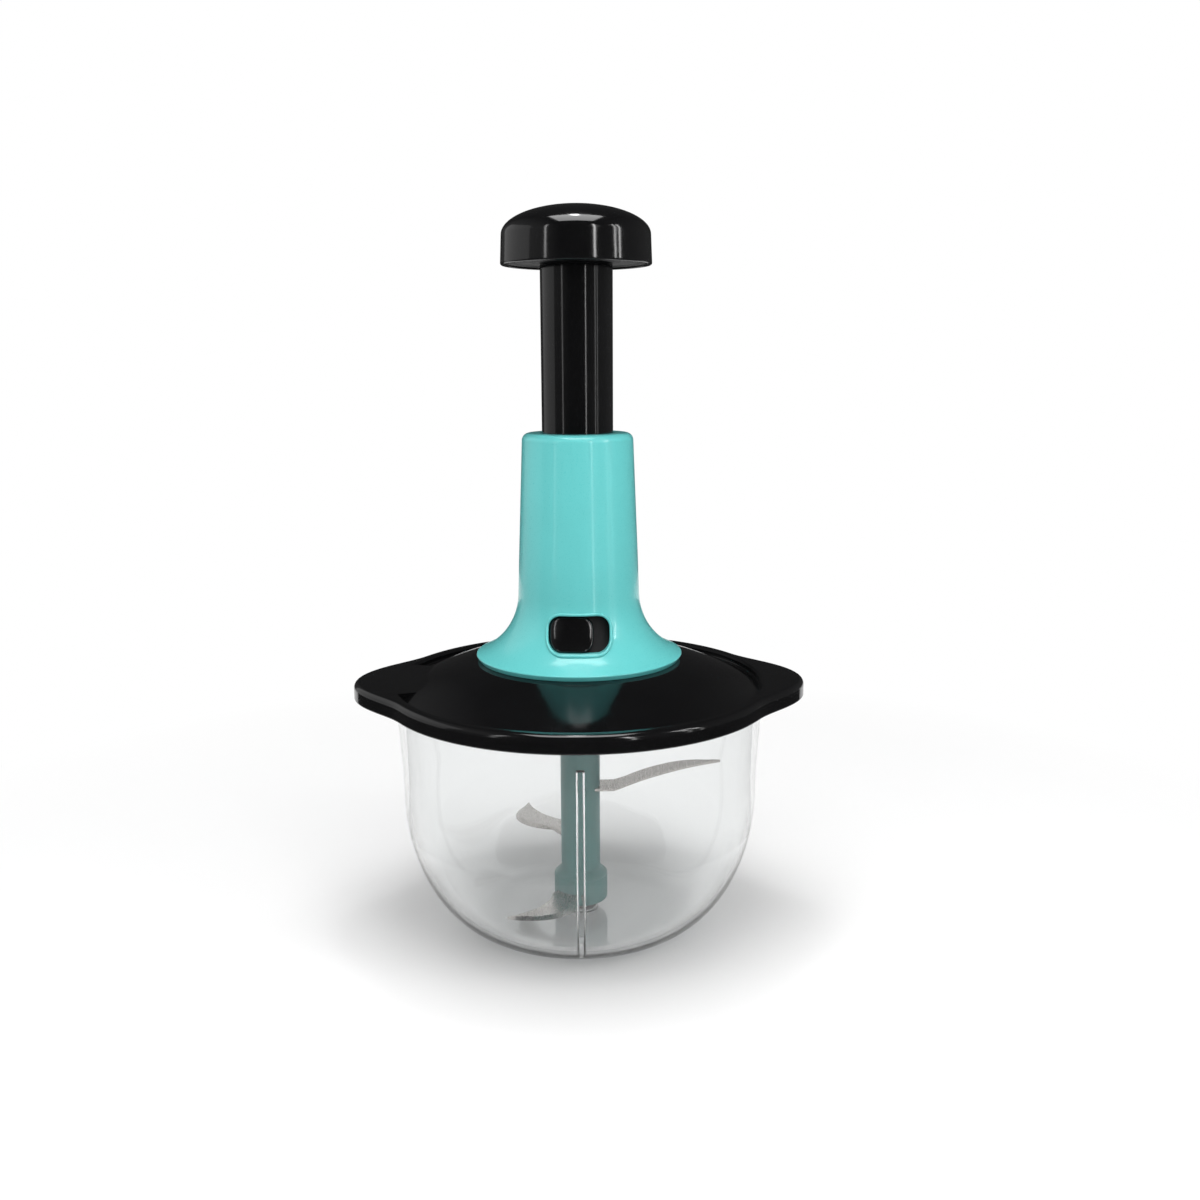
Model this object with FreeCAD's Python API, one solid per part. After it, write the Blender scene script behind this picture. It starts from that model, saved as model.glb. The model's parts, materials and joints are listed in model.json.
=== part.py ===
import FreeCAD, Part
import math
import os

from FreeCAD import Vector

# Hand food chopper with a push-down plunger, in millimetres.
# The origin is the centre of the bowl's base, +Z is up and the lock button faces -Y.

# Clearances and fits
running_fit = 0.05
moving_gap = 0.3
seat_gap = 0.3
rim_clearance = 0.6
guide_gap = 0.4

# Bowl
bowl_base_radius = 36.4
bowl_shoulder_radius = 77.5
bowl_shoulder_height = 62.5
bowl_rim_radius = 79.9
bowl_height = 106.2
bowl_wall = 2.2
bowl_floor = 3.0
rib_width = 3.4
rib_depth = 3.0
rib_below_rim = 11.2
boss_radius = 7.0
boss_height = 5.0
pin_radius = 2.5
pin_set_in = 4.0
pin_stand_out = 14.0
pin_point = 1.0

# Blade unit
shaft_radius = 8.75
hub_radius = 12.0
hub_height = 12.0
foot_bush_wall = 2.0
foot_bush_height = 11.0
blade_thickness = 1.2
blade_root_width = 12.0
blade_root_gap = 1.2
blade_root_past_axis = 5.0
blade_bend_past_hub = 3.0
blade_bow = 12.0
blade_width = 13.0
blade_sweep_back = 5.0
lower_blade_above_foot = 4.5
lower_blade_reach = 53.0
lower_blade_tilt = 9.0
middle_blade_reach = 60.0
middle_blade_tilt = -6.0
upper_blade_reach = 62.0
upper_blade_tilt = 15.0
upper_blade_below_top = 21.0
socket_depth = 15.0

# Lid
lid_skirt_wall = 4.0
lid_skirt_overlap = 2.4
lid_crest_rise = 5.0
lid_crest_width = 5.5
lid_crest_slope = 1.0
lid_edge_fillet = 2.6
lid_lower_fillet = 0.8
lid_trough_wall = 2.0
lid_wall = 2.4
dome_rise = 12.5
dome_bulge = 0.86
dome_deck_radius = 46.0
plug_depth = 5.0
plug_wall = 2.4
plug_inset = 2.1
seal_height = 2.6
seal_above_plug_end = 0.8
seal_lip_slope = 0.9
ear_reach = 13.9
ear_half_angle = 30.0
ear_wall = 2.6
ear_roof = 3.0
ear_pocket_half_angle = 14.0

# Handle shell
shell_height = 97.0
shell_wall = 2.0
shell_top_wall = 2.3
shell_shoulder = 3.2
waist_swell = 2.7
skirt_radius = 44.8
skirt_edge = 2.3
flare_rise = 26.7
window_width = 25.2
window_height = 14.2
window_corner = 5.2
window_above_tongue = 1.4
lip_width = 1.0
lip_proud = 0.5

# Plunger
tube_radius = 15.0
tube_wall = 2.0
tube_engagement = 22.0
tube_into_knob = 10.0
tube_web = 3.0
knob_gap = 6.0
knob_radius = 31.2
knob_draft = 0.5
knob_skirt = 12.0
knob_dome = 12.0
knob_wall = 2.2
knob_base_recess = 0.8
knob_base_thickness = 2.0
knob_boss_radius = 6.0
knob_socket_wall = 2.0
collar_height = 6.0
collar_overhang = 2.9
spigot_height = 6.0
key_reach = 1.6
key_width = 4.0
nut_floor_gap = 2.0
nut_pin_inner = 9.0
pin_sink = 0.2

# Guide sleeve
sleeve_wall = 2.8
sleeve_flange_radius = 29.0
sleeve_flange = 4.0

# Twisted rod
helix_lead = 31.0
helix_width = 12.0
helix_thickness = 3.0
rod_overrun = 1.5
shank_radius = 4.5
washer_thickness = 1.0
washer_radius = 8.0

# Clutch and spindle housing
spindle_bush_radius = 8.0
spindle_bush_flange_radius = 12.0
spindle_bush_flange = 1.5
spindle_bush_stand = 3.7
spindle_bush_drop = 4.6
housing_radius = 16.5
housing_wall = 2.3
housing_flange = 2.5
housing_depth = 34.6
housing_floor = 3.0
nose_radius = 12.0
nose_height = 4.0
output_bush_wall = 2.4
output_bush_lip = 1.6
output_bush_flange = 1.0
shaft_seal_height = 3.0
journal_radius = 7.0
cup_radius = 13.4
cup_wall = 2.2
cup_floor = 3.0
cup_height = 14.7
cup_tooth_count = 12
cup_tooth_depth = 1.2
hub_disc_radius = 8.0
hub_disc_height = 9.4
hub_neck_radius = 7.0
pawl_count = 3
pawl_height = 7.0
pawl_thickness = 1.2
pawl_root_depth = 1.5
pawl_lean = 25.0
hex_across_flats = 9.0
hex_length = 16.0
shaft_gap = 2.0
cross_pin_radius = 1.25

# Lock
lock_travel_angle = 10.5
tongue_thickness = 3.0
tongue_angle = 8.0
tongue_centre_angle = -16.0
tongue_tip_gap = 0.5
notch_margin_angle = 1.4
carrier_thickness = 1.4
carrier_margin_angle = 3.0
carrier_below_window = 1.6
button_right_edge = 6.0
button_recess = 0.2

# Return spring
spring_radius = 9.0
spring_wire = 1.1
cap_radius = 10.5
cap_thickness = 1.2
cap_stub_radius = 7.2
cap_stub_height = 3.0

# Screws
screw_radius = 1.6
screw_clearance = 0.3
screw_head_radius = 3.0
screw_head_height = 2.0
screw_recess_width = 2.0
screw_post_wall = 2.2
screw_tip_gap = 0.5
screw_first_angle = 45.0
handle_screw_pitch_radius = 34.8
handle_screw_count = 4
handle_screw_bite = 4.0
handle_post_height = 6.0
housing_screw_pitch_radius = 24.0
housing_screw_count = 3
knob_screw_radius = 2.0
knob_screw_bite = 7.0
knob_screw_head_radius = 4.0
knob_screw_head_height = 2.2

# Heights that follow from the sizes above, counted from the bowl's base
lid_under = bowl_height + seat_gap
seal_bottom = lid_under - plug_depth + seal_above_plug_end
seal_top = seal_bottom + seal_height
lid_bottom = bowl_height - lid_skirt_overlap
lid_crest = lid_under + lid_crest_rise
trough_top = lid_under + lid_trough_wall
deck_top = trough_top + dome_rise
deck_under = deck_top - lid_wall
shell_top = deck_top + shell_height
shell_ceiling = shell_top - shell_top_wall
tube_bottom = shell_top - tube_engagement
spindle_bush_top = deck_top + spindle_bush_stand
spindle_bush_under = deck_under - spindle_bush_drop
helix_bottom = spindle_bush_top + seat_gap + washer_thickness
stroke = tube_bottom - collar_height - helix_bottom - nut_floor_gap
knob_bottom = shell_top + stroke + knob_gap
tube_top = knob_bottom + tube_into_knob
web_under = tube_top - tube_web
knob_dome_start = knob_bottom + knob_skirt
rod_top = tube_bottom + spigot_height + rod_overrun
tongue_bottom = tube_bottom - stroke + seat_gap
window_centre = tongue_bottom + tongue_thickness / 2 + window_above_tongue
lip_low = window_centre - window_height / 2 - 2 * lip_width
lip_high = window_centre + window_height / 2 + 2 * lip_width
housing_bottom = deck_under - housing_depth
housing_floor_under = housing_bottom + nose_height
housing_floor_top = housing_floor_under + housing_floor
cup_bottom = housing_floor_top + output_bush_flange + seat_gap
boss_top = bowl_floor + boss_height
foot_bottom = boss_top + seat_gap
shaft_top = housing_bottom - shaft_gap

# Radii that follow from the sizes above
bowl_wall_slope = (bowl_rim_radius - bowl_shoulder_radius) / (bowl_height - bowl_shoulder_height)
seal_seat_radius = bowl_shoulder_radius + bowl_wall_slope * (seal_bottom - bowl_shoulder_height) - bowl_wall
lid_radius = bowl_rim_radius + rim_clearance + lid_skirt_wall
crest_inner_radius = lid_radius - lid_crest_width
plug_radius = seal_seat_radius - plug_inset
collar_radius = tube_radius + collar_overhang
sleeve_bore = collar_radius + moving_gap
sleeve_radius = sleeve_bore + sleeve_wall
tube_bore = tube_radius - tube_wall
housing_bore = housing_radius - housing_wall
shell_top_radius = sleeve_radius + guide_gap + shell_wall
waist_radius = shell_top_radius + waist_swell
flare_width = skirt_radius - waist_radius
flare_radius = (flare_width ** 2 + flare_rise ** 2) / (2 * flare_width)
flare_centre_radius = waist_radius + flare_radius
flare_centre_height = deck_top + skirt_edge + flare_rise
foot_bush_radius = pin_radius + running_fit + foot_bush_wall


def line(start, end):
    """Straight edge of a section, between two (radius, height) points."""
    return Part.makeLine(Vector(start[0], 0, start[1]), Vector(end[0], 0, end[1]))


def arc(start, middle, end):
    """Round edge of a section, through three (radius, height) points."""
    points = [Vector(radius, 0, height) for radius, height in (start, middle, end)]
    return Part.Arc(*points).toShape()


def quarter(centre, width, height, start, end):
    """Part of an ellipse as a section edge, between two angles in degrees from the +radius axis."""
    steps = 8
    points = []
    for index in range(steps + 1):
        angle = math.radians(start + (end - start) * index / steps)
        radius = centre[0] + width * math.cos(angle)
        points.append(Vector(radius, 0, centre[1] + height * math.sin(angle)))
    tangents = []
    for angle in (math.radians(start), math.radians(end)):
        tangent = Vector(-width * math.sin(angle), 0, height * math.cos(angle))
        tangents.append(tangent * math.copysign(1, end - start))
    curve = Part.BSplineCurve()
    curve.interpolate(Points=points, InitialTangent=tangents[0], FinalTangent=tangents[1])
    return curve.toShape()


def turned(edges):
    """Solid of revolution of a closed section about the Z axis."""
    face = Part.Face(Part.Wire(edges))
    return face.revolve(Vector(0, 0, 0), Vector(0, 0, 1), 360)


def disc(radius, bottom, top):
    return Part.makeCylinder(radius, top - bottom, Vector(0, 0, bottom))


def ring(inner, outer, bottom, top):
    return disc(outer, bottom, top).cut(disc(inner, bottom, top))


def radial_rod(radius, inner, outer, height):
    """Round rod along +X."""
    return Part.makeCylinder(radius, outer - inner, Vector(inner, 0, height), Vector(1, 0, 0))


def slab(x_range, y_range, z_range):
    lengths = [high - low for low, high in (x_range, y_range, z_range)]
    return Part.makeBox(*lengths, Vector(x_range[0], y_range[0], z_range[0]))


def spun(shape, angle):
    """Copy of a shape turned about the Z axis."""
    copy = shape.copy()
    copy.rotate(Vector(0, 0, 0), Vector(0, 0, 1), angle)
    return copy


def around(shape, count, first_angle=0.0):
    """Evenly spaced copies of a shape round the Z axis."""
    return [spun(shape, first_angle + index * 360.0 / count) for index in range(count)]


def sector(edges, start_angle, end_angle):
    """Part of a solid of revolution between two angles, counted from the front (-Y) towards +X."""
    face = Part.Face(Part.Wire(edges))
    solid = face.revolve(Vector(0, 0, 0), Vector(0, 0, 1), end_angle - start_angle)
    return spun(solid, start_angle - 90.0)


def box_section(inner, outer, bottom, top):
    corners = [(inner, bottom), (outer, bottom), (outer, top), (inner, top), (inner, bottom)]
    return [line(start, end) for start, end in zip(corners, corners[1:])]


def hexagon(across_flats, bottom, top):
    corner = across_flats / math.sqrt(3)
    points = []
    for index in range(7):
        angle = math.radians(60 * index)
        points.append(Vector(corner * math.cos(angle), corner * math.sin(angle), bottom))
    return Part.Face(Part.makePolygon(points)).extrude(Vector(0, 0, top - bottom))


def joined(first, others):
    """One solid from several, with the seams between them cleaned away."""
    return first.fuse(others).removeSplitter()


def bowl_form(inset, floor):
    """The bowl's outer form, or that form pulled in by a wall and a floor."""
    width = bowl_shoulder_radius - bowl_base_radius - inset
    height = bowl_shoulder_height - floor
    rim = (bowl_rim_radius - inset, bowl_height)
    return turned([
        line((0, floor), (bowl_base_radius, floor)),
        quarter((bowl_base_radius, bowl_shoulder_height), width, height, -90, 0),
        line((bowl_base_radius + width, bowl_shoulder_height), rim),
        line(rim, (0, bowl_height)),
        line((0, bowl_height), (0, floor)),
    ])


def make_ribs(inside):
    """Two upright ribs on the inner wall, at the front and the back, with round tops."""
    rib_top = bowl_height - rib_below_rim
    half = rib_width / 2
    reach = bowl_rim_radius
    upright = slab((-half, half), (-reach, reach), (0, rib_top - half))
    round_top = Part.makeCylinder(half, 2 * reach, Vector(0, -reach, rib_top - half), Vector(0, 1, 0))
    ribs = upright.fuse(round_top).common(inside)
    ribs = ribs.cut(bowl_form(bowl_wall + rib_depth, bowl_floor + rib_depth))
    return ribs.cut(disc(bowl_base_radius, 0, bowl_height))


def make_bowl():
    inside = bowl_form(bowl_wall, bowl_floor)
    boss = disc(boss_radius, bowl_floor, boss_top)
    bowl = joined(bowl_form(0, 0).cut(inside), [make_ribs(inside), boss])
    return bowl.cut(disc(pin_radius, boss_top - pin_set_in, boss_top))


def make_pivot_pin():
    pin_top = boss_top + pin_stand_out
    point = Part.makeCone(pin_radius, pin_radius - pin_point, pin_point, Vector(0, 0, pin_top))
    return disc(pin_radius, boss_top - pin_set_in, pin_top).fuse(point).removeSplitter()


def make_blade(root, reach, level, tilt, azimuth):
    """Curved steel blade, bent up at its root, with its convex cutting edge leading."""
    half_root = blade_root_width / 2
    bend = hub_radius + blade_bend_past_hub
    middle = (bend + reach) / 2
    tip = Vector(reach, -blade_sweep_back, 0)
    lead = Vector(middle, blade_bow, 0)
    trail = Vector(middle, blade_bow - blade_width, 0)
    corners = [
        Vector(bend, half_root, 0),
        Vector(root, half_root, 0),
        Vector(root, -half_root, 0),
        Vector(bend, -half_root, 0),
    ]
    edges = [Part.makeLine(start, end) for start, end in zip(corners, corners[1:])]
    edges.append(Part.Arc(corners[3], trail, tip).toShape())
    edges.append(Part.Arc(tip, lead, corners[0]).toShape())
    outline = Part.Face(Part.Wire(edges))
    prism = outline.extrude(Vector(0, 0, 2 * reach))
    prism.translate(Vector(0, 0, level - reach))
    rise = math.tan(math.radians(tilt)) * (reach - bend)
    top = level + blade_thickness
    under = [(root, level), (bend, level), (reach, level + rise)]
    over = [(reach, top + rise), (bend, top), (root, top), (root, level)]
    side = under + over
    strip = Part.Face(Part.Wire([line(start, end) for start, end in zip(side, side[1:])]))
    strip = strip.extrude(Vector(0, 2 * reach, 0))
    strip.translate(Vector(0, -reach, 0))
    return spun(prism.common(strip), azimuth)


def make_blades():
    foot_level = foot_bottom + lower_blade_above_foot
    top_level = shaft_top - upper_blade_below_top
    outer_root = foot_bush_radius + blade_root_gap
    inner_root = -blade_root_past_axis
    middle_level = (foot_level + top_level) / 2
    return {
        "lower_blade": make_blade(outer_root, lower_blade_reach, foot_level, lower_blade_tilt, 240),
        "middle_blade": make_blade(inner_root, middle_blade_reach, middle_level, middle_blade_tilt, 120),
        "upper_blade": make_blade(inner_root, upper_blade_reach, top_level, upper_blade_tilt, 0),
    }


def make_blade_shaft(blades):
    """Shaft with a wide foot, a hexagonal socket on top and a slot round each blade's root."""
    foot_top = foot_bottom + hub_height
    neck = Part.makeCone(hub_radius, shaft_radius, hub_radius - shaft_radius, Vector(0, 0, foot_top))
    column = disc(shaft_radius, foot_bottom, shaft_top)
    shaft = joined(disc(hub_radius, foot_bottom, foot_top), [neck, column])
    bush_top = foot_bottom + foot_bush_height
    pin_room = disc(pin_radius + moving_gap, bush_top, boss_top + pin_stand_out + pin_point + moving_gap)
    socket = hexagon(hex_across_flats + 2 * moving_gap, shaft_top - socket_depth, shaft_top)
    shaft = shaft.cut([disc(foot_bush_radius, foot_bottom, bush_top), pin_room, socket])
    return shaft.cut(list(blades.values()))


def make_foot_bush():
    return ring(pin_radius + running_fit, foot_bush_radius, foot_bottom, foot_bottom + foot_bush_height)


def lid_outline(inset, bottom, top, half_angle):
    """Prism of the lid's plan: a circle whose radius swells into an ear on each side."""
    swell = ear_half_angle
    steps = 12
    edges = []
    for side in (0, 180):
        points = []
        for index in range(steps + 1):
            angle = -swell + 2 * swell * index / steps
            radius = lid_radius - inset + ear_reach * (1 + math.cos(math.pi * angle / swell)) / 2
            turn = math.radians(side + angle)
            points.append(Vector(radius * math.cos(turn), radius * math.sin(turn), bottom))
        starts = [Vector(-math.sin(turn), math.cos(turn), 0) for turn in
                  (math.radians(side - swell), math.radians(side + swell))]
        ear = Part.BSplineCurve()
        ear.interpolate(Points=points, InitialTangent=starts[0], FinalTangent=starts[1])
        edges.append(ear.toShape())
        next_start = math.radians(side + 180 - swell)
        middle = math.radians(side + 90)
        radius = lid_radius - inset
        middle_point = Vector(radius * math.cos(middle), radius * math.sin(middle), bottom)
        end_point = Vector(radius * math.cos(next_start), radius * math.sin(next_start), bottom)
        edges.append(Part.Arc(points[-1], middle_point, end_point).toShape())
    face = Part.Face(Part.Wire(edges))
    prism = face.extrude(Vector(0, 0, top - bottom))
    if half_angle is None:
        return prism
    wedge = sector(box_section(0, 2 * lid_radius, bottom, top), 90 - half_angle, 90 + half_angle)
    return prism.common(wedge.fuse(spun(wedge, 180)))


def rounded_rim(solid, bottom, top):
    """Rounds the top and bottom outer edges of the lid's prism."""
    upper = [edge for edge in solid.Edges if abs(edge.BoundBox.ZMin - top) < 1e-6]
    lower = [edge for edge in solid.Edges if abs(edge.BoundBox.ZMax - bottom) < 1e-6]
    return solid.makeFillet(lid_edge_fillet, upper).makeFillet(lid_lower_fillet, lower)


def dome_arc(drop):
    """Start, middle and end of the lid's domed slope, lowered by a wall."""
    start = (dome_deck_radius, deck_top - drop)
    end = (crest_inner_radius - lid_crest_slope, trough_top - drop)
    middle = ((start[0] + end[0]) / 2, (start[1] + end[1]) / 2 + dome_bulge)
    return start, middle, end


def make_lid():
    rim = rounded_rim(lid_outline(0, lid_bottom, lid_crest, None), lid_bottom, lid_crest)
    inner = [
        disc(crest_inner_radius, lid_under, lid_crest),
        disc(lid_radius - lid_skirt_wall, lid_bottom, lid_under),
    ]
    slope = Part.makeCone(crest_inner_radius, crest_inner_radius + lid_crest_slope,
                          lid_crest_slope, Vector(0, 0, lid_crest - lid_crest_slope))
    pocket = lid_outline(ear_wall, lid_bottom, lid_crest - ear_roof, ear_pocket_half_angle)
    pocket = pocket.cut(disc(lid_radius, lid_bottom, lid_crest))
    rim = rim.cut(inner + [slope, pocket])
    start, middle, end = dome_arc(0)
    low_start, low_middle, low_end = dome_arc(lid_wall)
    plug_inner = plug_radius - plug_wall
    plug_bottom = lid_under - plug_depth
    low_corner = (plug_inner, min(low_end[1], lid_under))
    dish = turned([
        line((0, deck_top), start),
        arc(start, middle, end),
        line(end, (crest_inner_radius, trough_top)),
        line((crest_inner_radius, trough_top), (crest_inner_radius, lid_under)),
        line((crest_inner_radius, lid_under), (plug_radius, lid_under)),
        line((plug_radius, lid_under), (plug_radius, plug_bottom)),
        line((plug_radius, plug_bottom), (plug_inner, plug_bottom)),
        line((plug_inner, plug_bottom), low_corner),
        line(low_corner, low_start),
        line(low_start, (0, deck_under)),
        line((0, deck_under), (0, deck_top)),
    ])
    lid = joined(rim, [dish])
    holes = [disc(spindle_bush_radius, deck_under, deck_top)]
    screw_hole = disc(screw_radius + screw_clearance, deck_under, deck_top)
    for radius, count in ((handle_screw_pitch_radius, handle_screw_count),
                          (housing_screw_pitch_radius, housing_screw_count)):
        hole = screw_hole.copy()
        hole.translate(Vector(radius, 0, 0))
        holes.extend(around(hole, count, screw_first_angle))
    return lid.cut(holes)


def make_lid_seal():
    """Soft ring round the lid's plug, with a lip that stands towards the bowl's wall."""
    lip_radius = seal_seat_radius - seat_gap
    root_radius = lip_radius - seal_lip_slope
    middle = (seal_bottom + seal_top) / 2
    return turned([
        line((plug_radius, seal_bottom), (plug_radius, seal_top)),
        line((plug_radius, seal_top), (root_radius, seal_top)),
        line((root_radius, seal_top), (lip_radius, middle)),
        line((lip_radius, middle), (root_radius, seal_bottom)),
        line((root_radius, seal_bottom), (plug_radius, seal_bottom)),
    ])


def flare_radius_at(height, depth):
    """Radius of the handle's flare at a height, at a depth below its outer surface."""
    rise = flare_centre_height - height
    return flare_centre_radius - math.sqrt((flare_radius + depth) ** 2 - rise ** 2)


def flare_height_at(radius, depth):
    """Height of the handle's flare at a radius, at a depth below its outer surface."""
    reach = flare_centre_radius - radius
    return flare_centre_height - math.sqrt((flare_radius + depth) ** 2 - reach ** 2)


def flare_arc(depth, low, high):
    """Section edge that follows the handle's flare, upwards between two heights."""
    middle = (low + high) / 2
    points = [(flare_radius_at(height, depth), height) for height in (low, middle, high)]
    return arc(*points)


def flare_band(front, back, low, high):
    """Section of a band that follows the flare, between two depths and two heights."""
    low_inner, low_outer = [(flare_radius_at(low, depth), low) for depth in (back, front)]
    high_inner, high_outer = [(flare_radius_at(high, depth), high) for depth in (back, front)]
    return [
        flare_arc(front, low, high),
        line(high_outer, high_inner),
        flare_arc(back, low, high),
        line(low_inner, low_outer),
    ]


def shell_form(depth, ceiling, floor_radius):
    """The handle's outer form with a sharp shoulder, or that form pulled in by its wall."""
    low = flare_height_at(floor_radius, depth)
    waist = (waist_radius - depth, flare_centre_height)
    shoulder = (shell_top_radius - depth, ceiling)
    return turned([
        line((0, deck_top), (floor_radius, deck_top)),
        line((floor_radius, deck_top), (floor_radius, low)),
        flare_arc(depth, low, flare_centre_height),
        line(waist, shoulder),
        line(shoulder, (0, ceiling)),
        line((0, ceiling), (0, deck_top)),
    ])


def window_prism(grow):
    """The window's opening, grown all round."""
    half_width = window_width / 2 + grow
    return rounded_prism(-half_width, half_width, grow)


def rounded_prism(left, right, grow):
    """Rounded rectangle at the window's height, run out from the axis to the front."""
    half_height = window_height / 2 + grow
    corner = window_corner + grow
    bottom = window_centre - half_height
    block = slab((left, right), (-2 * skirt_radius, 0), (bottom, bottom + 2 * half_height))
    upright = [edge for edge in block.Edges
               if edge.BoundBox.XLength < 1e-6 and edge.BoundBox.ZLength < 1e-6]
    return block.makeFillet(corner, upright)


def make_handle_shell():
    outside = shell_form(0, shell_top, skirt_radius)
    top_edges = [edge for edge in outside.Edges if edge.BoundBox.ZMin > shell_top - 1e-6]
    outside = outside.makeFillet(shell_shoulder, top_edges)
    inside = shell_form(shell_wall, shell_ceiling, skirt_radius - shell_wall)
    shell = outside.cut([inside, disc(tube_radius + guide_gap, shell_ceiling, shell_top)])
    lip_band = turned(flare_band(-lip_proud, lip_proud, lip_low, lip_high))
    lip = lip_band.common(window_prism(lip_width))
    posts = [post.common(inside) for post in around(handle_post(), handle_screw_count, screw_first_angle)]
    return joined(shell, [lip] + posts).cut(window_prism(0))


def handle_post():
    """Hollow post for one handle screw."""
    top = deck_top + handle_post_height
    outer = Part.makeCylinder(screw_radius + screw_post_wall, top - deck_top,
                              Vector(handle_screw_pitch_radius, 0, deck_top))
    bore_top = deck_top + handle_screw_bite + screw_tip_gap
    bore = Part.makeCylinder(screw_radius, bore_top - deck_top,
                             Vector(handle_screw_pitch_radius, 0, deck_top))
    return outer.cut(bore)


def screw(pitch_radius, head_top, tip):
    """One screw that points up, with a domed head under it."""
    shank = disc(screw_radius, head_top, tip)
    head = disc(screw_head_radius, head_top - screw_head_height, head_top)
    recess = hexagon(screw_recess_width, head_top - screw_head_height, head_top - screw_head_height / 2)
    whole = joined(shank, [head]).cut(recess)
    whole.translate(Vector(pitch_radius, 0, 0))
    return whole


def make_handle_screws():
    tip = deck_top + handle_screw_bite
    one = screw(handle_screw_pitch_radius, deck_under, tip)
    return Part.makeCompound(around(one, handle_screw_count, screw_first_angle))


def make_housing_screws():
    tip = deck_top + sleeve_flange - screw_tip_gap
    one = screw(housing_screw_pitch_radius, deck_under - housing_flange, tip)
    return Part.makeCompound(around(one, housing_screw_count, screw_first_angle))


def make_guide_sleeve():
    """Liner that guides the nut, with a groove for each key and a slot for the lock's tongue."""
    flange = disc(sleeve_flange_radius, deck_top, deck_top + sleeve_flange)
    sleeve = joined(disc(sleeve_radius, deck_top, shell_ceiling), [flange])
    bush_flange = disc(spindle_bush_flange_radius + guide_gap, deck_top, deck_top + spindle_bush_flange)
    groove_half = key_width / 2 + moving_gap
    groove_reach = collar_radius + key_reach + moving_gap
    groove_top = tube_bottom + seat_gap
    groove = slab((-groove_reach, groove_reach), (-groove_half, groove_half), (deck_top, groove_top))
    cuts = [disc(sleeve_bore, deck_top, shell_ceiling), groove, bush_flange, tongue_slot()]
    bore = Part.makeCylinder(screw_radius, sleeve_flange, Vector(housing_screw_pitch_radius, 0, deck_top))
    cuts.extend(around(bore, housing_screw_count, screw_first_angle))
    return sleeve.cut(cuts)


def tongue_slot():
    """Slot in the sleeve, as long as the tongue's path."""
    bottom = tongue_bottom - moving_gap
    top = tongue_bottom + tongue_thickness + moving_gap
    start = tongue_centre_angle - tongue_angle / 2 - notch_margin_angle
    end = tongue_centre_angle + tongue_angle / 2 + lock_travel_angle + notch_margin_angle
    section = box_section(sleeve_bore - moving_gap, sleeve_radius + moving_gap, bottom, top)
    return sector(section, start, end)


def make_top_bush():
    return ring(tube_radius + moving_gap, sleeve_bore, tube_bottom + seat_gap, shell_ceiling)


def make_spindle_housing():
    """Cup under the lid that holds the clutch, with a flange above and a nose below."""
    flange_bottom = deck_under - housing_flange
    outer = disc(housing_radius, housing_floor_under, deck_under)
    nose = disc(nose_radius, housing_bottom, housing_floor_under)
    flange_radius = housing_screw_pitch_radius + screw_radius + screw_post_wall
    flange = disc(flange_radius, flange_bottom, deck_under)
    housing = joined(outer, [nose, flange])
    journal_hole = journal_radius + running_fit + output_bush_wall
    cuts = [
        disc(housing_bore, housing_floor_top, deck_under),
        disc(journal_hole, housing_bottom, housing_floor_top),
    ]
    hole = Part.makeCylinder(screw_radius + screw_clearance, housing_flange,
                             Vector(housing_screw_pitch_radius, 0, flange_bottom))
    cuts.extend(around(hole, housing_screw_count, screw_first_angle))
    return housing.cut(cuts)


def make_output_bush():
    bore = journal_radius + running_fit
    body = disc(bore + output_bush_wall, housing_floor_under, housing_floor_top)
    flange_top = housing_floor_top + output_bush_flange
    flange = disc(bore + output_bush_wall + output_bush_lip, housing_floor_top, flange_top)
    return joined(body, [flange]).cut(disc(bore, housing_floor_under, flange_top))


def make_shaft_seal():
    outer = journal_radius + running_fit + output_bush_wall
    bottom = housing_floor_under - shaft_seal_height
    return ring(journal_radius + seat_gap, outer, bottom, housing_floor_under)


def make_spindle_bush():
    body = disc(spindle_bush_radius, spindle_bush_under, spindle_bush_top)
    flange = disc(spindle_bush_flange_radius, deck_top, deck_top + spindle_bush_flange)
    bore = disc(shank_radius + running_fit, spindle_bush_under, spindle_bush_top)
    return joined(body, [flange]).cut(bore)


def twisted_strip(width, thickness, bottom, top):
    """Flat strip twisted about the Z axis, always in phase with the rod's lower end."""
    phase = 360.0 * (bottom - helix_bottom) / helix_lead
    spine = Part.Wire(Part.makeLine(Vector(0, 0, bottom), Vector(0, 0, top)))
    guide = Part.makeHelix(helix_lead, top - bottom, width)
    guide.translate(Vector(0, 0, bottom))
    half_width = width / 2
    half_thickness = thickness / 2
    corners = [(-1, -1), (1, -1), (1, 1), (-1, 1), (-1, -1)]
    points = [Vector(x * half_width, y * half_thickness, bottom) for x, y in corners]
    sweep = Part.BRepOffsetAPI.MakePipeShell(spine)
    sweep.setAuxiliarySpine(Part.Wire(guide), True, 0)
    sweep.add(Part.makePolygon(points))
    sweep.build()
    sweep.makeSolid()
    return spun(sweep.shape(), phase)


def make_helix_rod():
    """Twisted steel strip on a round shank."""
    shank_bottom = cup_bottom + cup_floor + seat_gap
    strip = twisted_strip(helix_width, helix_thickness, helix_bottom, rod_top)
    shank = disc(shank_radius, shank_bottom, helix_bottom)
    rod = strip.fuse(shank)
    return rod.cut(radial_rod(cross_pin_radius, -hub_neck_radius, hub_neck_radius, rod_pin_height()))


def rod_pin_height():
    neck_bottom = cup_bottom + cup_floor + seat_gap + hub_disc_height
    return (neck_bottom + spindle_bush_under - seat_gap) / 2


def make_thrust_washer():
    return ring(shank_radius, washer_radius, helix_bottom - washer_thickness, helix_bottom)


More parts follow.
